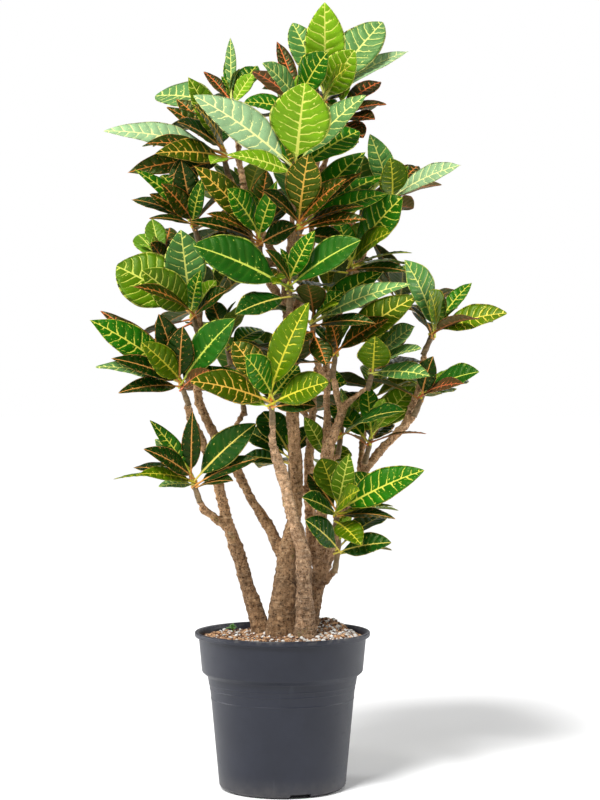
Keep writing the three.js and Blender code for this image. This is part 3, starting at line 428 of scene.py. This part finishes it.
def young_stem_material():
    g = Graph("young_stem")
    place = g.place()
    base = g.ramp(g.noise(place, 160, 5, 0.6), [
        (0.3, (86, 68, 44)), (0.5, (120, 98, 64)), (0.7, (150, 122, 88)),
    ])
    scars = g.step(g.noise(g.place((0.3, 0.3, 1)), 210), 0.56, 0.62)
    base = g.tint(base, scars, 0.6, (150, 130, 98))
    height = g.math("ADD", g.noise(place, 500, 4), scars)
    rough = g.between(g.noise(place, 200, 2), 0.55, 0.8)
    return g.surface(base, rough, height, 0.0004, 0.6)


def pot_material():
    g = Graph("pot_plastic")
    place = g.place()
    base = g.ramp(g.noise(place, 14, 5, 0.6), [
        (0.3, (28, 31, 42)), (0.5, (33, 36, 47)), (0.75, (38, 41, 53)),
    ])
    streaks = g.step(g.noise(g.place((1, 1, 0.06)), 60, 4, 0.6), 0.6, 0.75)
    base = g.tint(base, streaks, 0.1, (92, 95, 106))
    _, _, z = g.parts(place)
    low = g.times(g.step(z, 0.035, 0.0), g.noise(place, 90, 4))
    rim = g.times(g.step(z, 0.232, 0.24), g.step(g.noise(place, 120, 4), 0.45, 0.7))
    dust = g.math("MAXIMUM", low, rim)
    base = g.tint(base, dust, 0.3, (128, 122, 114))
    fine = g.math("ADD", g.noise(place, 2600), g.times(g.noise(place, 60), 0.5))
    scuffs = g.step(g.noise(g.place((1, 1, 3)), 45, 6, 0.7), 0.6, 0.7)
    rough = g.math("MULTIPLY_ADD", scuffs, 0.1, g.between(g.noise(place, 30), 0.4, 0.52))
    return g.surface(base, rough, fine, 0.00012, 0.6, Specular_IOR_Level=0.38)


def soil_material():
    g = Graph("soil")
    place = g.place()
    grains = g.cells(place, 330)
    mixed = g.ramp(g.parts(grains.outputs["Color"])[0], [
        (0.1, (34, 21, 14)), (0.4, (96, 60, 38)), (0.65, (178, 124, 82)), (0.9, (226, 186, 146)),
    ])
    patch = g.step(g.noise(place, 34), 0.42, 0.6)
    base = g.mix(g.times(patch, 0.45), mixed, linear((52, 34, 26)))
    peat_x, peat_y, peat_radius = (value * MM for value in DARK_PEAT)
    middle = (peat_x, peat_y, SOIL_LEVEL * MM)
    offset = g.node("ShaderNodeVectorMath", {0: place, 1: middle}, operation="DISTANCE").outputs["Value"]
    peat = g.step(offset, peat_radius, 0.5 * peat_radius)
    base = g.tint(base, peat, 0.85, (38, 27, 22))
    height = g.math("ADD", grains.outputs[0], g.times(g.noise(place, 500, 5), 0.6))
    return g.surface(base, g.between(g.noise(place, 300, 2), 0.85, 1.0), height, 0.002, 0.9)


def grain_material(name, dark, light, pores):
    """Loose grains, each of its own colour between dark and light."""
    g = Graph(name)
    place = g.place()
    own = g.parts(g.attribute("grain_luck"))[0]
    base = g.mix(own, linear(dark), linear(light))
    base = g.tint(base, g.noise(place, 400, 4), 0.4, [c * 0.7 for c in dark])
    grain = g.noise(place, 900, 5, 0.7)
    spots = g.step(g.cells(place, 700).outputs[0], 0.3, 0.12)
    base = g.tint(base, spots, pores, [c * 0.6 for c in dark])
    height = g.math("MULTIPLY_ADD", spots, -pores, grain)
    return g.surface(base, g.between(grain, 0.75, 0.98), height, 0.0006, 0.8)


def weed_material():
    g = Graph("weed")
    place = g.place()
    base = g.ramp(g.noise(place, 220, 4), [(0.3, (92, 150, 60)), (0.7, (140, 196, 104))])
    ribs = g.step(g.noise(g.place((1, 1, 3)), 600, 2), 0.55, 0.65)
    base = g.tint(base, ribs, 0.3, (176, 214, 140))
    return g.surface(base, g.between(g.noise(place, 400, 2), 0.4, 0.6), ribs, 0.0002, 0.5)


def floor_material():
    g = Graph("studio_floor")
    rough = g.between(g.noise(g.place(), 40, 2), 0.85, 0.95)
    return g.surface(linear((251, 251, 251)), rough, Specular_IOR_Level=0.0)


# Pieces


def add_object(name, data):
    """A new object of this data, in the scene."""
    made = bpy.data.objects.new(name, data)
    bpy.context.scene.collection.objects.link(made)
    return made


def add_piece(name, points, faces, materials, smooth=True):
    """A mesh piece that rides on the root body. Each face is (corners, index of its material)."""
    mesh = bpy.data.meshes.new(name)
    mesh.from_pydata(points, [], [corners for corners, _ in faces])
    for material in materials:
        mesh.materials.append(material)
    mesh.polygons.foreach_set("material_index", [index for _, index in faces])
    mesh.polygons.foreach_set("use_smooth", [smooth] * len(faces))
    mesh.update()
    piece = add_object(name, mesh)
    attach(piece, "root")
    return piece


def read_rows(items, key, width, kind=float):
    """One row of values for each of a mesh's points, edges or triangles."""
    values = np.empty(len(items) * width, kind)
    items.foreach_get(key, values)
    return values.reshape(-1, width)


def ring(centre, across, other, radius, around):
    """Points of a circle in the plane of two directions."""
    turns = [2 * math.pi * k / around for k in range(around)]
    return [centre + (across * math.cos(turn) + other * math.sin(turn)) * radius for turn in turns]


def band_faces(first, rows, around):
    """The faces between rings of points, from the index of their first point."""
    faces = []
    for start in range(first, first + (rows - 1) * around, around):
        for k in range(around):
            after = (k + 1) % around
            faces.append((start + k, start + after, start + around + after, start + around + k))
    return faces


def pointed_faces(rows, around):
    """The faces from a first point, over rings of points, to a last point."""
    last = 1 + rows * around
    columns = [(k, (k + 1) % around) for k in range(around)]
    below = [(0, 1 + after, 1 + k) for k, after in columns]
    above = [(last, last - around + k, last - around + after) for k, after in columns]
    return below + band_faces(1, rows, around) + above


def turned_form(profile, around):
    """A closed turned form's points and faces, from its profile of radius and height."""
    points = [(0, 0, profile[0][1])]
    for radius, z in profile[1:-1]:
        for k in range(around):
            turn = 2 * math.pi * k / around
            points.append((radius * math.cos(turn), radius * math.sin(turn), z))
    points.append((0, 0, profile[-1][1]))
    return points, pointed_faces(len(profile) - 2, around)


def frame_mesh(node):
    """A CAD node's points, each once, and its triangles."""
    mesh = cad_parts[node].data
    points = read_rows(mesh.vertices, "co", 3, np.float32)
    points, index = np.unique(points, axis=0, return_inverse=True)
    mesh.calc_loop_triangles()
    corners = read_rows(mesh.loop_triangles, "vertices", 3, np.int32)
    return points.astype(float), index.reshape(-1)[corners]


def neighbours_of(count, triangles):
    near = [set() for _ in range(count)]
    for a, b, c in triangles:
        near[a] |= {b, c}
        near[b] |= {a, c}
        near[c] |= {a, b}
    return near


class Leaf:
    """One leaf of the frame: its cubic middle line, the up side, width and wave."""

    def __init__(self, line, up, width, wave, look, seed):
        self.line, self.up, self.width, self.wave = line, up, width, wave
        self.look, self.seed = look, seed

    @property
    def tip(self):
        return self.line.sum(axis=0)

    @property
    def root(self):
        return self.line[0]


def cubic_through(shares, points):
    """The cubic's four coefficients, lowest power first, through four points."""
    return np.linalg.solve(np.vander(shares, 4, increasing=True), np.array(points))


def leaf_at(tip, points, near):
    """The leaf that ends in this point, or None. A leaf's tip has four neighbours, its two edges with
    four of their own and its upper and lower side with six."""
    if len(near[tip]) != 4:
        return None
    edges = [k for k in near[tip] if len(near[k]) == 4]
    middles = [k for k in near[tip] if len(near[k]) == 6]
    if len(edges) != 2 or len(middles) != 2 or edges[0] in near[edges[1]]:
        return None
    lower_ring = set().union(*(near[k] for k in near[tip])) - near[tip] - {tip}
    if len(lower_ring) != 4:
        return None
    lower_edges = [next(iter(near[k] & lower_ring)) for k in edges]
    lower_middles = list(lower_ring - set(lower_edges))
    stalk = set().union(*(near[k] for k in lower_ring)) - lower_ring - near[tip]
    stalk_edges = [next(iter((near[k] & stalk) - (near[lower_edges[1 - i]] & stalk)), None)
                   for i, k in enumerate(lower_edges)]
    if None in stalk_edges:
        return None
    centres = [points[pair].mean(axis=0) for pair in (stalk_edges, lower_middles, middles, [tip])]
    line = cubic_through((STALK_END, LOWER_RING, UPPER_RING, 1.0), centres)
    up = unit(points[lower_edges].mean(axis=0) - centres[1])
    used = {tip, *near[tip], *lower_ring, *stalk}
    ahead = line[1] + 2 * line[2] * LOWER_RING + 3 * line[3] * LOWER_RING ** 2
    half = (points[lower_edges[0]] - points[lower_edges[1]]) / 2
    half *= math.copysign(1, half @ np.cross(up, ahead))
    width = np.linalg.norm(half) / LOWER_HALF
    return Leaf(line, up, width, half @ up, "", 0.0), used


def shoot_frame(points, used):
    """A shoot's place and axis, from the flat lower end of its stem."""
    rest = [k for k in range(len(points)) if k not in used]
    lowest = sorted(rest, key=lambda k: points[k][2])[:SOLID_STEM_SIDES]
    foot = points[lowest].mean(axis=0)
    _, _, directions = np.linalg.svd(points[lowest] - foot)
    axis = directions[2] * math.copysign(1, directions[2][2])
    return foot, axis


def known_look(x, z):
    """The look that the front view shows for this tip, or None."""
    for look, tips in KNOWN_LOOKS.items():
        if any(math.dist((x, z), tip) * MM < SAME_TIP for tip in tips):
            return look
    return None


def read_shoot(name):
    """A shoot's leaves, its place and its axis, read from its solid."""
    points, triangles = frame_mesh(f"shoot_{name}")
    near = neighbours_of(len(points), triangles)
    leaves, used = [], set()
    for k in range(len(points)):
        found = leaf_at(k, points, near)
        if found:
            leaves.append(found[0])
            used |= found[1]
    foot, axis = shoot_frame(points, used)
    place = foot + axis * STEM_BELOW
    for leaf in leaves:
        x, y, z = leaf.tip / MM
        leaf.seed = random.Random(round(x * 7 + y * 13 + z * 29)).random()
        choice = random.Random(leaf.seed)
        angle = math.degrees(math.acos(np.clip(unit(leaf.tip - place) @ axis, -1, 1)))
        rank = YOUNG if angle < YOUNG_UP_TO else GROWN if angle < GROWN_UP_TO else OLD
        leaf.look = known_look(x, z) or choice.choice(rank)
    return leaves, place, axis


def frame_along(leaf, shares):
    """A leaf's middle line at these shares of its length, and its ways to the side and up."""
    slopes = np.stack([np.zeros_like(shares), np.ones_like(shares), 2 * shares, 3 * shares * shares], -1)
    ahead = unit(slopes @ leaf.line)
    up = unit(leaf.up - ahead * (ahead @ leaf.up)[..., None])
    return shares[..., None] ** np.arange(4) @ leaf.line, np.cross(up, ahead), up


def leaf_mesh(leaf):
    """A leaf's points, faces and what its material reads, from its root to its tip."""
    choice = random.Random(leaf.seed * 977)
    length = np.linalg.norm(leaf.tip - leaf.root)
    pairs = round(VEIN_PAIRS + length / PAIR_PER_LENGTH)
    # Broad leaves are rounder: low and high shape a blade's foot and its tip
    broad = smooth_step(0.26, 0.5, leaf.width / length)
    low = 0.84 + 0.36 * broad + choice.uniform(-0.06, 0.06)
    high = 0.98 - 0.12 * broad + choice.uniform(-0.05, 0.05)
    ripple = choice.uniform(0.004, 0.014) * leaf.width
    ripple_turn = choice.uniform(0, 6.28)
    columns = np.array(COLUMNS, float)
    v = np.concatenate([columns, columns[-2:0:-1]])
    facing = np.where(np.arange(len(v)) < len(columns), 1, -1)
    out = np.abs(v)
    blade_rows = np.arange(ROWS_PER_VEIN * pairs) / (ROWS_PER_VEIN * pairs)
    rows = np.concatenate([np.full(len(STALK_ROWS), -1.0), blade_rows])
    start = np.concatenate([STALK_ROWS, np.full(len(blade_rows), STALK_END)])

    q = np.maximum(rows, 0)[:, None]
    slant = min(VEIN_RISE * leaf.width / length, 0.22)
    share = q + slant * np.sin(math.pi * q) * out * (0.6 + 0.4 * out)
    on_blade = (rows >= 0)[:, None]
    t = np.where(on_blade, STALK_END + (1 - STALK_END) * share, start[:, None])
    centre, side, up = frame_along(leaf, t)

    # The blade: folded along its midrib, waved at its edges and quilted between its side veins
    inside = np.clip(share, 0, 1)
    peak = low / (low + high)
    half = inside ** low * (1 - inside) ** high / (peak ** low * (1 - peak) ** high) * leaf.width / 2
    x = v * half
    z = FOLD * half * (1.35 * out - 0.35 * out ** 2)
    z = z + leaf.wave * np.cos(8.25 * (share - 0.357)) * v * np.sqrt(out) * smooth_step(0, 0.2, share)
    z = z + ripple * np.sin(24 * share + ripple_turn + 1.7 * np.sign(v)) * out ** 2
    number = q * pairs
    quilt = -np.cos(2 * math.pi * (number + 0.5 * (v > 0)))
    spread = smooth_step(0.04, 0.3, out) * (1 - smooth_step(0.78, 1.0, out))
    z = z + VEIN_DEPTH * quilt * spread * np.sin(math.pi * q) ** 0.5
    thick = BLADE_THICKNESS * (1 - 0.4 * out) * (out < 1)
    z = z + facing * thick / 2
    midrib = (out == 0) * (1 - 0.7 * share)
    z = z - midrib * MIDRIB_DEPTH * np.where(facing < 0, 2.6, 1.0)

    # The stalk: round, and it runs into the blade
    radius = np.interp(t, (0, STALK_END), STALK_RADIUS)
    angle = math.pi * (1 - v) / 2 * facing
    into_blade = smooth_step(-0.001, 0.07, np.where(on_blade, share, -0.001))
    x = radius * np.cos(angle) * (1 - into_blade) + x * into_blade
    z = radius * np.sin(angle) * (1 - into_blade) + z * into_blade
    points = centre + side * x[..., None] + up * z[..., None]

    # Turned over, because the points run the other way round here
    faces = [
        ((first, *others[::-1]), int(i % len(v) >= len(columns) - 1))
        for i, (first, *others) in enumerate(pointed_faces(len(rows), len(v)))
    ]
    points = np.concatenate([[leaf.root], points.reshape(-1, 3), [leaf.tip]])

    def told(*traits):
        """Three values for each point, each given for the grid, the root and the tip."""
        return np.stack([
            np.concatenate([[root], (grid * np.ones_like(t)).reshape(-1), [tip]])
            for grid, root, tip in traits
        ], -1)

    blade, rib, reach, flecks = LOOKS[leaf.look]
    tone = choice.uniform(0.82, 1.18)
    seed = leaf.seed * 1000
    facts = {
        "leaf_place": told((number, 0, pairs), (v, 0, 0), (share * on_blade, 0, 1)),
        "leaf_chart": told((x / MM, 0, 0), (t * length / MM, 0, length / MM), (seed, seed, seed)),
        "leaf_traits": told((reach, reach, reach), (flecks, flecks, flecks), (into_blade, 0, 1)),
        "leaf_tissue": np.tile([*(c * tone for c in linear(blade)[:3]), 1], (len(points), 1)),
        "leaf_rib": np.tile(linear(rib, 0.85 + 0.026 * leaf.width / MM), (len(points), 1)),
    }
    return points, faces, facts


def ways_across(axis):
    """Two directions across a shoot's axis, at a right angle."""
    across = unit(np.cross(axis, (0, 1, 0)))
    return across, np.cross(axis, across)


def stem_mesh(place, axis, seed):
    """A shoot's stem: a tapered tube with swollen leaf joints that ends in a bud."""
    choice = random.Random(seed)
    across, other = ways_across(axis)
    foot = place - axis * (STEM_BELOW + STEM_OVERLAP)
    length = STEM_BELOW + STEM_OVERLAP + STEM_TOP
    points = [foot]
    for row in range(STEM_ROWS):
        share = row / (STEM_ROWS - 1)
        taper = STEM_RADII[0] + (STEM_RADII[1] - STEM_RADII[0]) * share
        bud = math.sqrt(max(0.0, 1 - max(0.0, (share - 0.8) / 0.21) ** 2))
        radius = taper * bud * (1 + 0.07 * math.sin(5.1 * row) + choice.uniform(-0.03, 0.03))
        points += ring(foot + axis * length * share, across, other, radius, STEM_SIDES)
    points.append(foot + axis * length * 1.01)
    return np.array(points), [(corners, 2) for corners in pointed_faces(STEM_ROWS, STEM_SIDES)]


def young_leaves(place, axis, name):
    """Small new leaves round the bud, which the solids leave out."""
    choice = random.Random(f"young {name}")
    across, other = ways_across(axis)
    first = choice.uniform(0, 360)
    leaves = []
    for order, (length, polar) in enumerate(YOUNG_LEAVES):
        turn = math.radians(first + GOLDEN_ANGLE * order)
        tilt = math.radians(polar * choice.uniform(0.7, 1.3))
        outward = across * math.cos(turn) + other * math.sin(turn)
        ahead = outward * math.sin(tilt) + axis * math.cos(tilt)
        reach = length * MM * choice.uniform(0.85, 1.15)
        root = place + axis * (2 + 2 * order) * MM
        up = unit(axis - ahead * (ahead @ axis))
        shares = np.array((0, 0.35, 0.7, 1.0))
        bow = np.outer((0, 0.1, 0.1, 0), up) * reach
        line = cubic_through(shares, root + np.outer(shares, ahead) * reach + bow)
        look = choice.choice(("fresh", "fresh", "green"))
        leaves.append(Leaf(line, up, 0.34 * reach, 0.02 * reach, look, choice.random()))
    return leaves


def add_shoot(name, materials):
    """A shoot with its leaves, the small new ones too, and its stem, in one piece."""
    leaves, place, axis = read_shoot(name)
    parts = [leaf_mesh(leaf) for leaf in leaves + young_leaves(place, axis, name)]
    stem_points, stem_faces = stem_mesh(place, axis, name)
    facts = {key: np.zeros((len(stem_points), values.shape[1])) for key, values in parts[0][2].items()}
    parts.append((stem_points, stem_faces, facts))
    points, faces = [], []
    for part_points, part_faces, _ in parts:
        faces += [(tuple(c + len(points) for c in corners), m) for corners, m in part_faces]
        points.extend(part_points)
    piece = add_piece(f"leafy_{name}", np.array(points), faces, materials)
    for key in facts:
        values = np.concatenate([part[2][key] for part in parts])
        kind, field = ("FLOAT_COLOR", "color") if values.shape[1] == 4 else ("FLOAT_VECTOR", "vector")
        layer = piece.data.attributes.new(key, kind, "POINT")
        layer.data.foreach_set(field, values.astype(np.float32).ravel())
    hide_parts(f"shoot_{name}")


def smoothed(points, edges, rounds):
    """Smooths a mesh without shrinking it, by turns of smoothing and slightly more unsmoothing."""
    ends = np.concatenate([edges[:, 0], edges[:, 1]])
    others = np.concatenate([edges[:, 1], edges[:, 0]])
    count = np.bincount(ends, minlength=len(points))[:, None]
    for turn in range(2 * rounds):
        total = np.stack([np.bincount(ends, points[others, k], len(points)) for k in range(3)], -1)
        points = points + (0.5, -0.52)[turn % 2] * (total / count - points)
    return points


def bark_relief(x, y, z):
    """How far the bark stands out of the smooth wood, in millimetres."""
    place = Vector((x, y, z))
    lumps = noise.noise(place * 34) * 1.5 + noise.noise(place * 95) * 1.2
    furrow = noise.noise(Vector((x, y, z * 0.5)) * 240) * 0.45
    level = z / MM / SCAR_SPACING + 0.9 * noise.noise(place * 30)
    ridge = math.exp(-(((level % 1) - 0.5) / 0.17) ** 2) * (0.9 + 1.2 * noise.noise(place * 60))
    knob = max(0.0, noise.noise(place * 55 + Vector((7, 3, 1))) - 0.45) * 5
    return 0.2 + lumps + furrow + max(ridge, 0) + knob


def add_trunk(node, material):
    """A trunk with its branches: the solid's form, rounded and given rings, scars and furrows."""
    rough = add_object(f"{node}_rough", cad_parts[node].data.copy())
    remesh = rough.modifiers.new("remesh", "REMESH")
    remesh.mode = "VOXEL"
    remesh.voxel_size = WOOD_GRID
    graph = bpy.context.evaluated_depsgraph_get()
    mesh = bpy.data.meshes.new_from_object(rough.evaluated_get(graph))
    bpy.data.objects.remove(rough)
    edges = read_rows(mesh.edges, "vertices", 2, np.int32)
    points = smoothed(read_rows(mesh.vertices, "co", 3), edges, WOOD_SMOOTHING)
    mesh.vertices.foreach_set("co", points.ravel())
    mesh.update()
    out = np.array([bark_relief(*place) for place in points])
    foot = np.clip((FOOT_TOP[0] - points[:, 2]) / FOOT_TOP[1], 0, 1)
    lower = np.clip((STOUT_TOP[0] - points[:, 2]) / STOUT_TOP[1], 0, 1)
    out += 1.6 * foot ** 2 + 0.9 * lower
    points = points + read_rows(mesh.vertices, "normal", 3) * out[:, None] * MM
    mesh.vertices.foreach_set("co", points.ravel())
    mesh.polygons.foreach_set("use_smooth", [True] * len(mesh.polygons))
    mesh.materials.clear()
    mesh.materials.append(material)
    mesh.update()
    mesh.name = f"bark_{node}"
    piece = add_object(mesh.name, mesh)
    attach(piece, "root")
    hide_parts(node)


def rounded_profile(corners, radius, steps=4):
    """The profile with each inner corner rounded by a short arc of up to this radius."""
    made = [corners[0]]
    for before, corner, after in zip(corners, corners[1:], corners[2:]):
        a, b, c = (np.array(p, float) for p in (before, corner, after))
        cut = min(radius, 0.45 * np.linalg.norm(a - b), 0.45 * np.linalg.norm(c - b))
        start = b + unit(a - b) * cut
        end = b + unit(c - b) * cut
        for step in range(steps + 1):
            t = step / steps
            made.append(tuple((1 - t) ** 2 * start + 2 * t * (1 - t) * b + t * t * end))
    made.append(corners[-1])
    return made


def drain_cutters():
    """The channels under the pot's foot and their holes, as one mesh to cut away."""
    cutters = bmesh.new()
    for i in range(DRAIN_COUNT):
        turn = Matrix.Rotation(math.radians(DRAIN_FIRST + 360 * i / DRAIN_COUNT), 4, "Z")
        box = Matrix.Translation((CHANNEL_MIDDLE * MM, 0, 0)) @ Matrix.Diagonal((*CHANNEL_SIZE, 1))
        bmesh.ops.create_cube(cutters, size=MM, matrix=turn @ box)
        bore = Matrix.Translation((DRAIN_HOLE_MIDDLE * MM, 0, 0))
        radius = DRAIN_HOLE_RADIUS * MM
        bmesh.ops.create_cone(cutters, cap_ends=True, segments=24, radius1=radius, radius2=radius,
                              depth=30 * MM, matrix=turn @ bore)
    mesh = bpy.data.meshes.new("drains")
    cutters.to_mesh(mesh)
    cutters.free()
    return mesh


def add_pot(material):
    """The pot: a turned form with rounded edges, and its drains cut out of it."""
    points, faces = turned_form(rounded_profile(POT_PROFILE, POT_ROUNDING), POT_SIDES)
    pot = add_piece("nursery_pot", np.array(points) * MM, [(f, 0) for f in faces], [material])
    tool = add_object("drains", drain_cutters())
    cut = pot.modifiers.new("drains", "BOOLEAN")
    cut.operation, cut.solver, cut.object, cut.use_self = "DIFFERENCE", "EXACT", tool, True
    graph = bpy.context.evaluated_depsgraph_get()
    pot.data = bpy.data.meshes.new_from_object(pot.evaluated_get(graph))
    pot.modifiers.clear()
    bpy.data.objects.remove(tool)
    pot.data.set_sharp_from_angle(angle=math.radians(POT_CREASE))
    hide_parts("pot")


def soil_height(x, y):
    """Height of the soil in millimetres."""
    height = SOIL_LEVEL
    for mound_x, mound_y, rise, spread in MOUNDS:
        height += rise * math.exp(-((x - mound_x) ** 2 + (y - mound_y) ** 2) / (2 * spread ** 2))
    place = Vector((x, y, 0))
    height += 2.4 * noise.noise(place / 26) + 1.6 * noise.noise(place / 8) + 1.1 * noise.noise(place / 3)
    return height


def off_trunks(x, y):
    """How far a place on the soil is from the nearest trunk, and less than 0 inside it."""
    return min(math.hypot(x - foot_x, y - foot_y) - radius for foot_x, foot_y, radius in TRUNK_FEET)


def add_soil(material):
    """The soil: it fills the pot, with an uneven top and a pit for the foot of each trunk."""
    top = [(SOIL_RADIUS * (1 - row / SOIL_RINGS), SOIL_LEVEL) for row in range(SOIL_RINGS)]
    points, faces = turned_form([*SOIL_WALL, *top, (0, soil_height(0, 0))], SOIL_SIDES)
    for i in range(1 + (len(SOIL_WALL) - 1) * SOIL_SIDES, len(points) - 1):
        x, y, _ = points[i]
        points[i] = (x, y, TRUNK_PIT if off_trunks(x, y) < -2 else soil_height(x, y))
    soil = add_piece("potting_soil", np.array(points) * MM, [(f, 0) for f in faces], [material])
    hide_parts("soil")


def free_spot(choice, margin=2.5):
    """A random place on the soil clear of the trunks, in millimetres."""
    while True:
        radius = (SOIL_RADIUS - margin) * math.sqrt(choice.random())
        angle = choice.uniform(0, 2 * math.pi)
        x, y = radius * math.cos(angle), radius * math.sin(angle)
        if off_trunks(x, y) > margin:
            return x, y


def add_grains(name, material, count, sizes, flatness, seed, chance):
    """Loose grains, half sunk in the soil. The chance says how likely a place has one."""
    choice = random.Random(seed)
    stone = bmesh.new()
    bmesh.ops.create_icosphere(stone, subdivisions=1, radius=1)
    stone.verts.index_update()
    form = [v.co.copy() for v in stone.verts]
    corners = [tuple(v.index for v in f.verts) for f in stone.faces]
    stone.free()
    points, faces, luck = [], [], []
    made = 0
    while made < count:
        x, y = free_spot(choice)
        if choice.random() > chance(x, y):
            continue
        made += 1
        size = sizes[0] + (sizes[1] - sizes[0]) * choice.random() ** 2
        wide = size * choice.uniform(0.5, 0.9)
        scale = Matrix.Diagonal((size, wide, size * flatness * choice.uniform(0.6, 1.1)))
        turn = Matrix.Rotation(choice.uniform(0, 6.28), 3, "Z")
        turn = turn @ Matrix.Rotation(choice.uniform(-0.7, 0.7), 3, "X")
        shift = Vector((choice.uniform(0, 99), choice.uniform(0, 99), made))
        centre = Vector((x, y, soil_height(x, y) + 0.25 * size * flatness))
        start = len(points)
        for co in form:
            bumpy = co * (1 + 0.45 * noise.noise(co * 1.3 + shift))
            points.append((turn @ (scale @ bumpy) + centre) * MM)
        faces += [(tuple(c + start for c in f), 0) for f in corners]
        luck += [choice.random() ** 1.5, 0, 0] * len(form)
    grains = add_piece(name, points, faces, [material], smooth=False)
    grains.data.attributes.new("grain_luck", "FLOAT_VECTOR", "POINT").data.foreach_set("vector", luck)


def near_peat(x, y):
    """1 in the middle of the heap of dark peat, and less away from it."""
    away = (x - DARK_PEAT[0]) ** 2 + (y - DARK_PEAT[1]) ** 2
    return math.exp(-away / (2 * PEAT_SPREAD ** 2))


def stalk_points(start, end, radii):
    """Three rings of points of a thin tapered stalk."""
    ahead = (end - start).normalized()
    across = ahead.orthogonal().normalized()
    points = []
    for share in (0, 0.5, 1):
        radius = radii[0] + (radii[1] - radii[0]) * share
        points += ring(start.lerp(end, share), across, ahead.cross(across), radius, WEED_SIDES)
    return points


def leaflet_points(root, ahead, length, rows=8):
    """Rings of points of a small folded and bent leaf."""
    top = [(-1, 0.2), (-0.5, 0.14), (0, 0), (0.5, 0.14), (1, 0.2)]
    section = top + [(0.5, 0.02), (0, -0.12), (-0.5, 0.02)]
    side = ahead.cross(Vector((0, 0, 1))).normalized()
    up = side.cross(ahead).normalized()
    points = []
    for row in range(rows):
        share = 0.04 + 0.92 * row / (rows - 1)
        half = length * 0.3 * math.sin(math.pi * share ** 0.8) ** 0.8 + 0.15 * MM
        bend = length * (0.22 * math.sin(math.pi * share) - 0.1 * share)
        centre = root + ahead * length * share + up * bend
        points += [centre + side * half * x + up * half * z for x, z in section]
    return points


def add_weed(material):
    """The little sprout by the left rim: a thin stem with whorls of small leaves."""
    choice = random.Random(5)
    foot = Vector(WEED_FOOT) * MM
    parts = [stalk_points(foot, foot + Vector((0, 0, WEED_HEIGHT)) * MM, (0.9 * MM, 0.7 * MM))]
    for whorl, (level, size, count) in enumerate(WEED_WHORLS):
        for i in range(count):
            turn = 2 * math.pi * (i + 0.3 + 0.5 * whorl) / count + choice.uniform(-0.2, 0.2)
            lift = choice.uniform(0.25, 0.6) + 0.3 * whorl
            ahead = Vector((math.cos(turn), math.sin(turn), lift)).normalized()
            root = foot + Vector((0, 0, level)) * MM
            parts.append(leaflet_points(root, ahead, size * choice.uniform(0.85, 1.1) * MM))
    points, faces = [], []
    for part in parts:
        start, end = len(points), len(points) + len(part)
        faces += band_faces(start, len(part) // WEED_SIDES, WEED_SIDES)
        faces.append(tuple(range(start + WEED_SIDES - 1, start - 1, -1)))
        faces.append(tuple(range(end - WEED_SIDES, end)))
        points += part
    weed = add_piece("weed_leaves", points, [(f, 0) for f in faces], [material])
    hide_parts("weed_sprout")


def add_light(name, kind, place, power, size):
    """A light aimed at the plant's middle."""
    data = bpy.data.lights.new(name, kind)
    data.energy = power
    if kind == "AREA":
        data.shape = "DISK"
        data.size = size
    else:
        data.angle = size
    light = add_object(name, data)
    light.location = place
    light.rotation_euler = (Vector(PLANT_MIDDLE) - Vector(place)).to_track_quat("-Z", "Y").to_euler()


# Scene
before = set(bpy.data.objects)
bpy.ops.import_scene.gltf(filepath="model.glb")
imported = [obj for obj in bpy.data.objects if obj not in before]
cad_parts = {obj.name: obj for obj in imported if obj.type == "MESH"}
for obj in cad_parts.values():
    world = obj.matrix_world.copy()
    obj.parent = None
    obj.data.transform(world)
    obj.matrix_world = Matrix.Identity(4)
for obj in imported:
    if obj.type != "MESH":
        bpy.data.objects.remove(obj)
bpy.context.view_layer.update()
scene = bpy.context.scene

camera_data = bpy.data.cameras.new("camera")
camera_data.lens = CAMERA_LENS
camera_data.sensor_width = 36
camera = add_object("camera", camera_data)
camera.location = CAMERA_PLACE
camera.rotation_euler = (math.radians(90), 0, 0)
scene.camera = camera

floor_mesh = bpy.data.meshes.new("studio_floor")
floor_corners = ((-1, -1), (1, -1), (1, 1), (-1, 1))
floor_points = [(x * FLOOR_SIZE, y * FLOOR_SIZE, -FLOOR_DEPTH) for x, y in floor_corners]
floor_mesh.from_pydata(floor_points, [], [(0, 1, 2, 3)])
floor_mesh.materials.append(floor_material())
floor = add_object("studio_floor", floor_mesh)

world = bpy.data.worlds.new("studio")
world.use_nodes = True
tree = world.node_tree
background = tree.nodes["Background"]
rays = tree.nodes.new("ShaderNodeLightPath")
level = tree.nodes.new("ShaderNodeMapRange")
level.inputs["To Min"].default_value = SKY_LIGHT
level.inputs["To Max"].default_value = BACKGROUND
tree.links.new(rays.outputs["Is Camera Ray"], level.inputs["Value"])
tree.links.new(level.outputs[0], background.inputs["Strength"])
background.inputs["Color"].default_value = (1, 1, 1, 1)
scene.world = world
scene.view_settings.view_transform = "Standard"
for light in LIGHTS:
    add_light(*light)

leaf_materials = [leaf_material("leaf_top", False), leaf_material("leaf_under", True), young_stem_material()]
for node in sorted(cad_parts):
    if node.startswith("shoot_"):
        add_shoot(node.removeprefix("shoot_"), leaf_materials)
for node, tone in BARK_TONES.items():
    add_trunk(node, bark_material(f"bark_{node}", tone))
add_pot(pot_material())
add_soil(soil_material())
add_grains("bark_chips", grain_material("bark_chips", (70, 40, 24), (246, 196, 146), 0.3),
           count=2100, sizes=(1.2, 4.2), flatness=0.55, seed=21,
           chance=lambda x, y: 1 - 0.5 * near_peat(x, y))
add_grains("perlite", grain_material("perlite", (206, 202, 194), (252, 252, 250), 0.2),
           count=760, sizes=(1.3, 4.0), flatness=0.8, seed=22,
           chance=lambda x, y: 0.3 + 0.7 * (x > 20) - 0.6 * near_peat(x, y))
add_weed(weed_material())
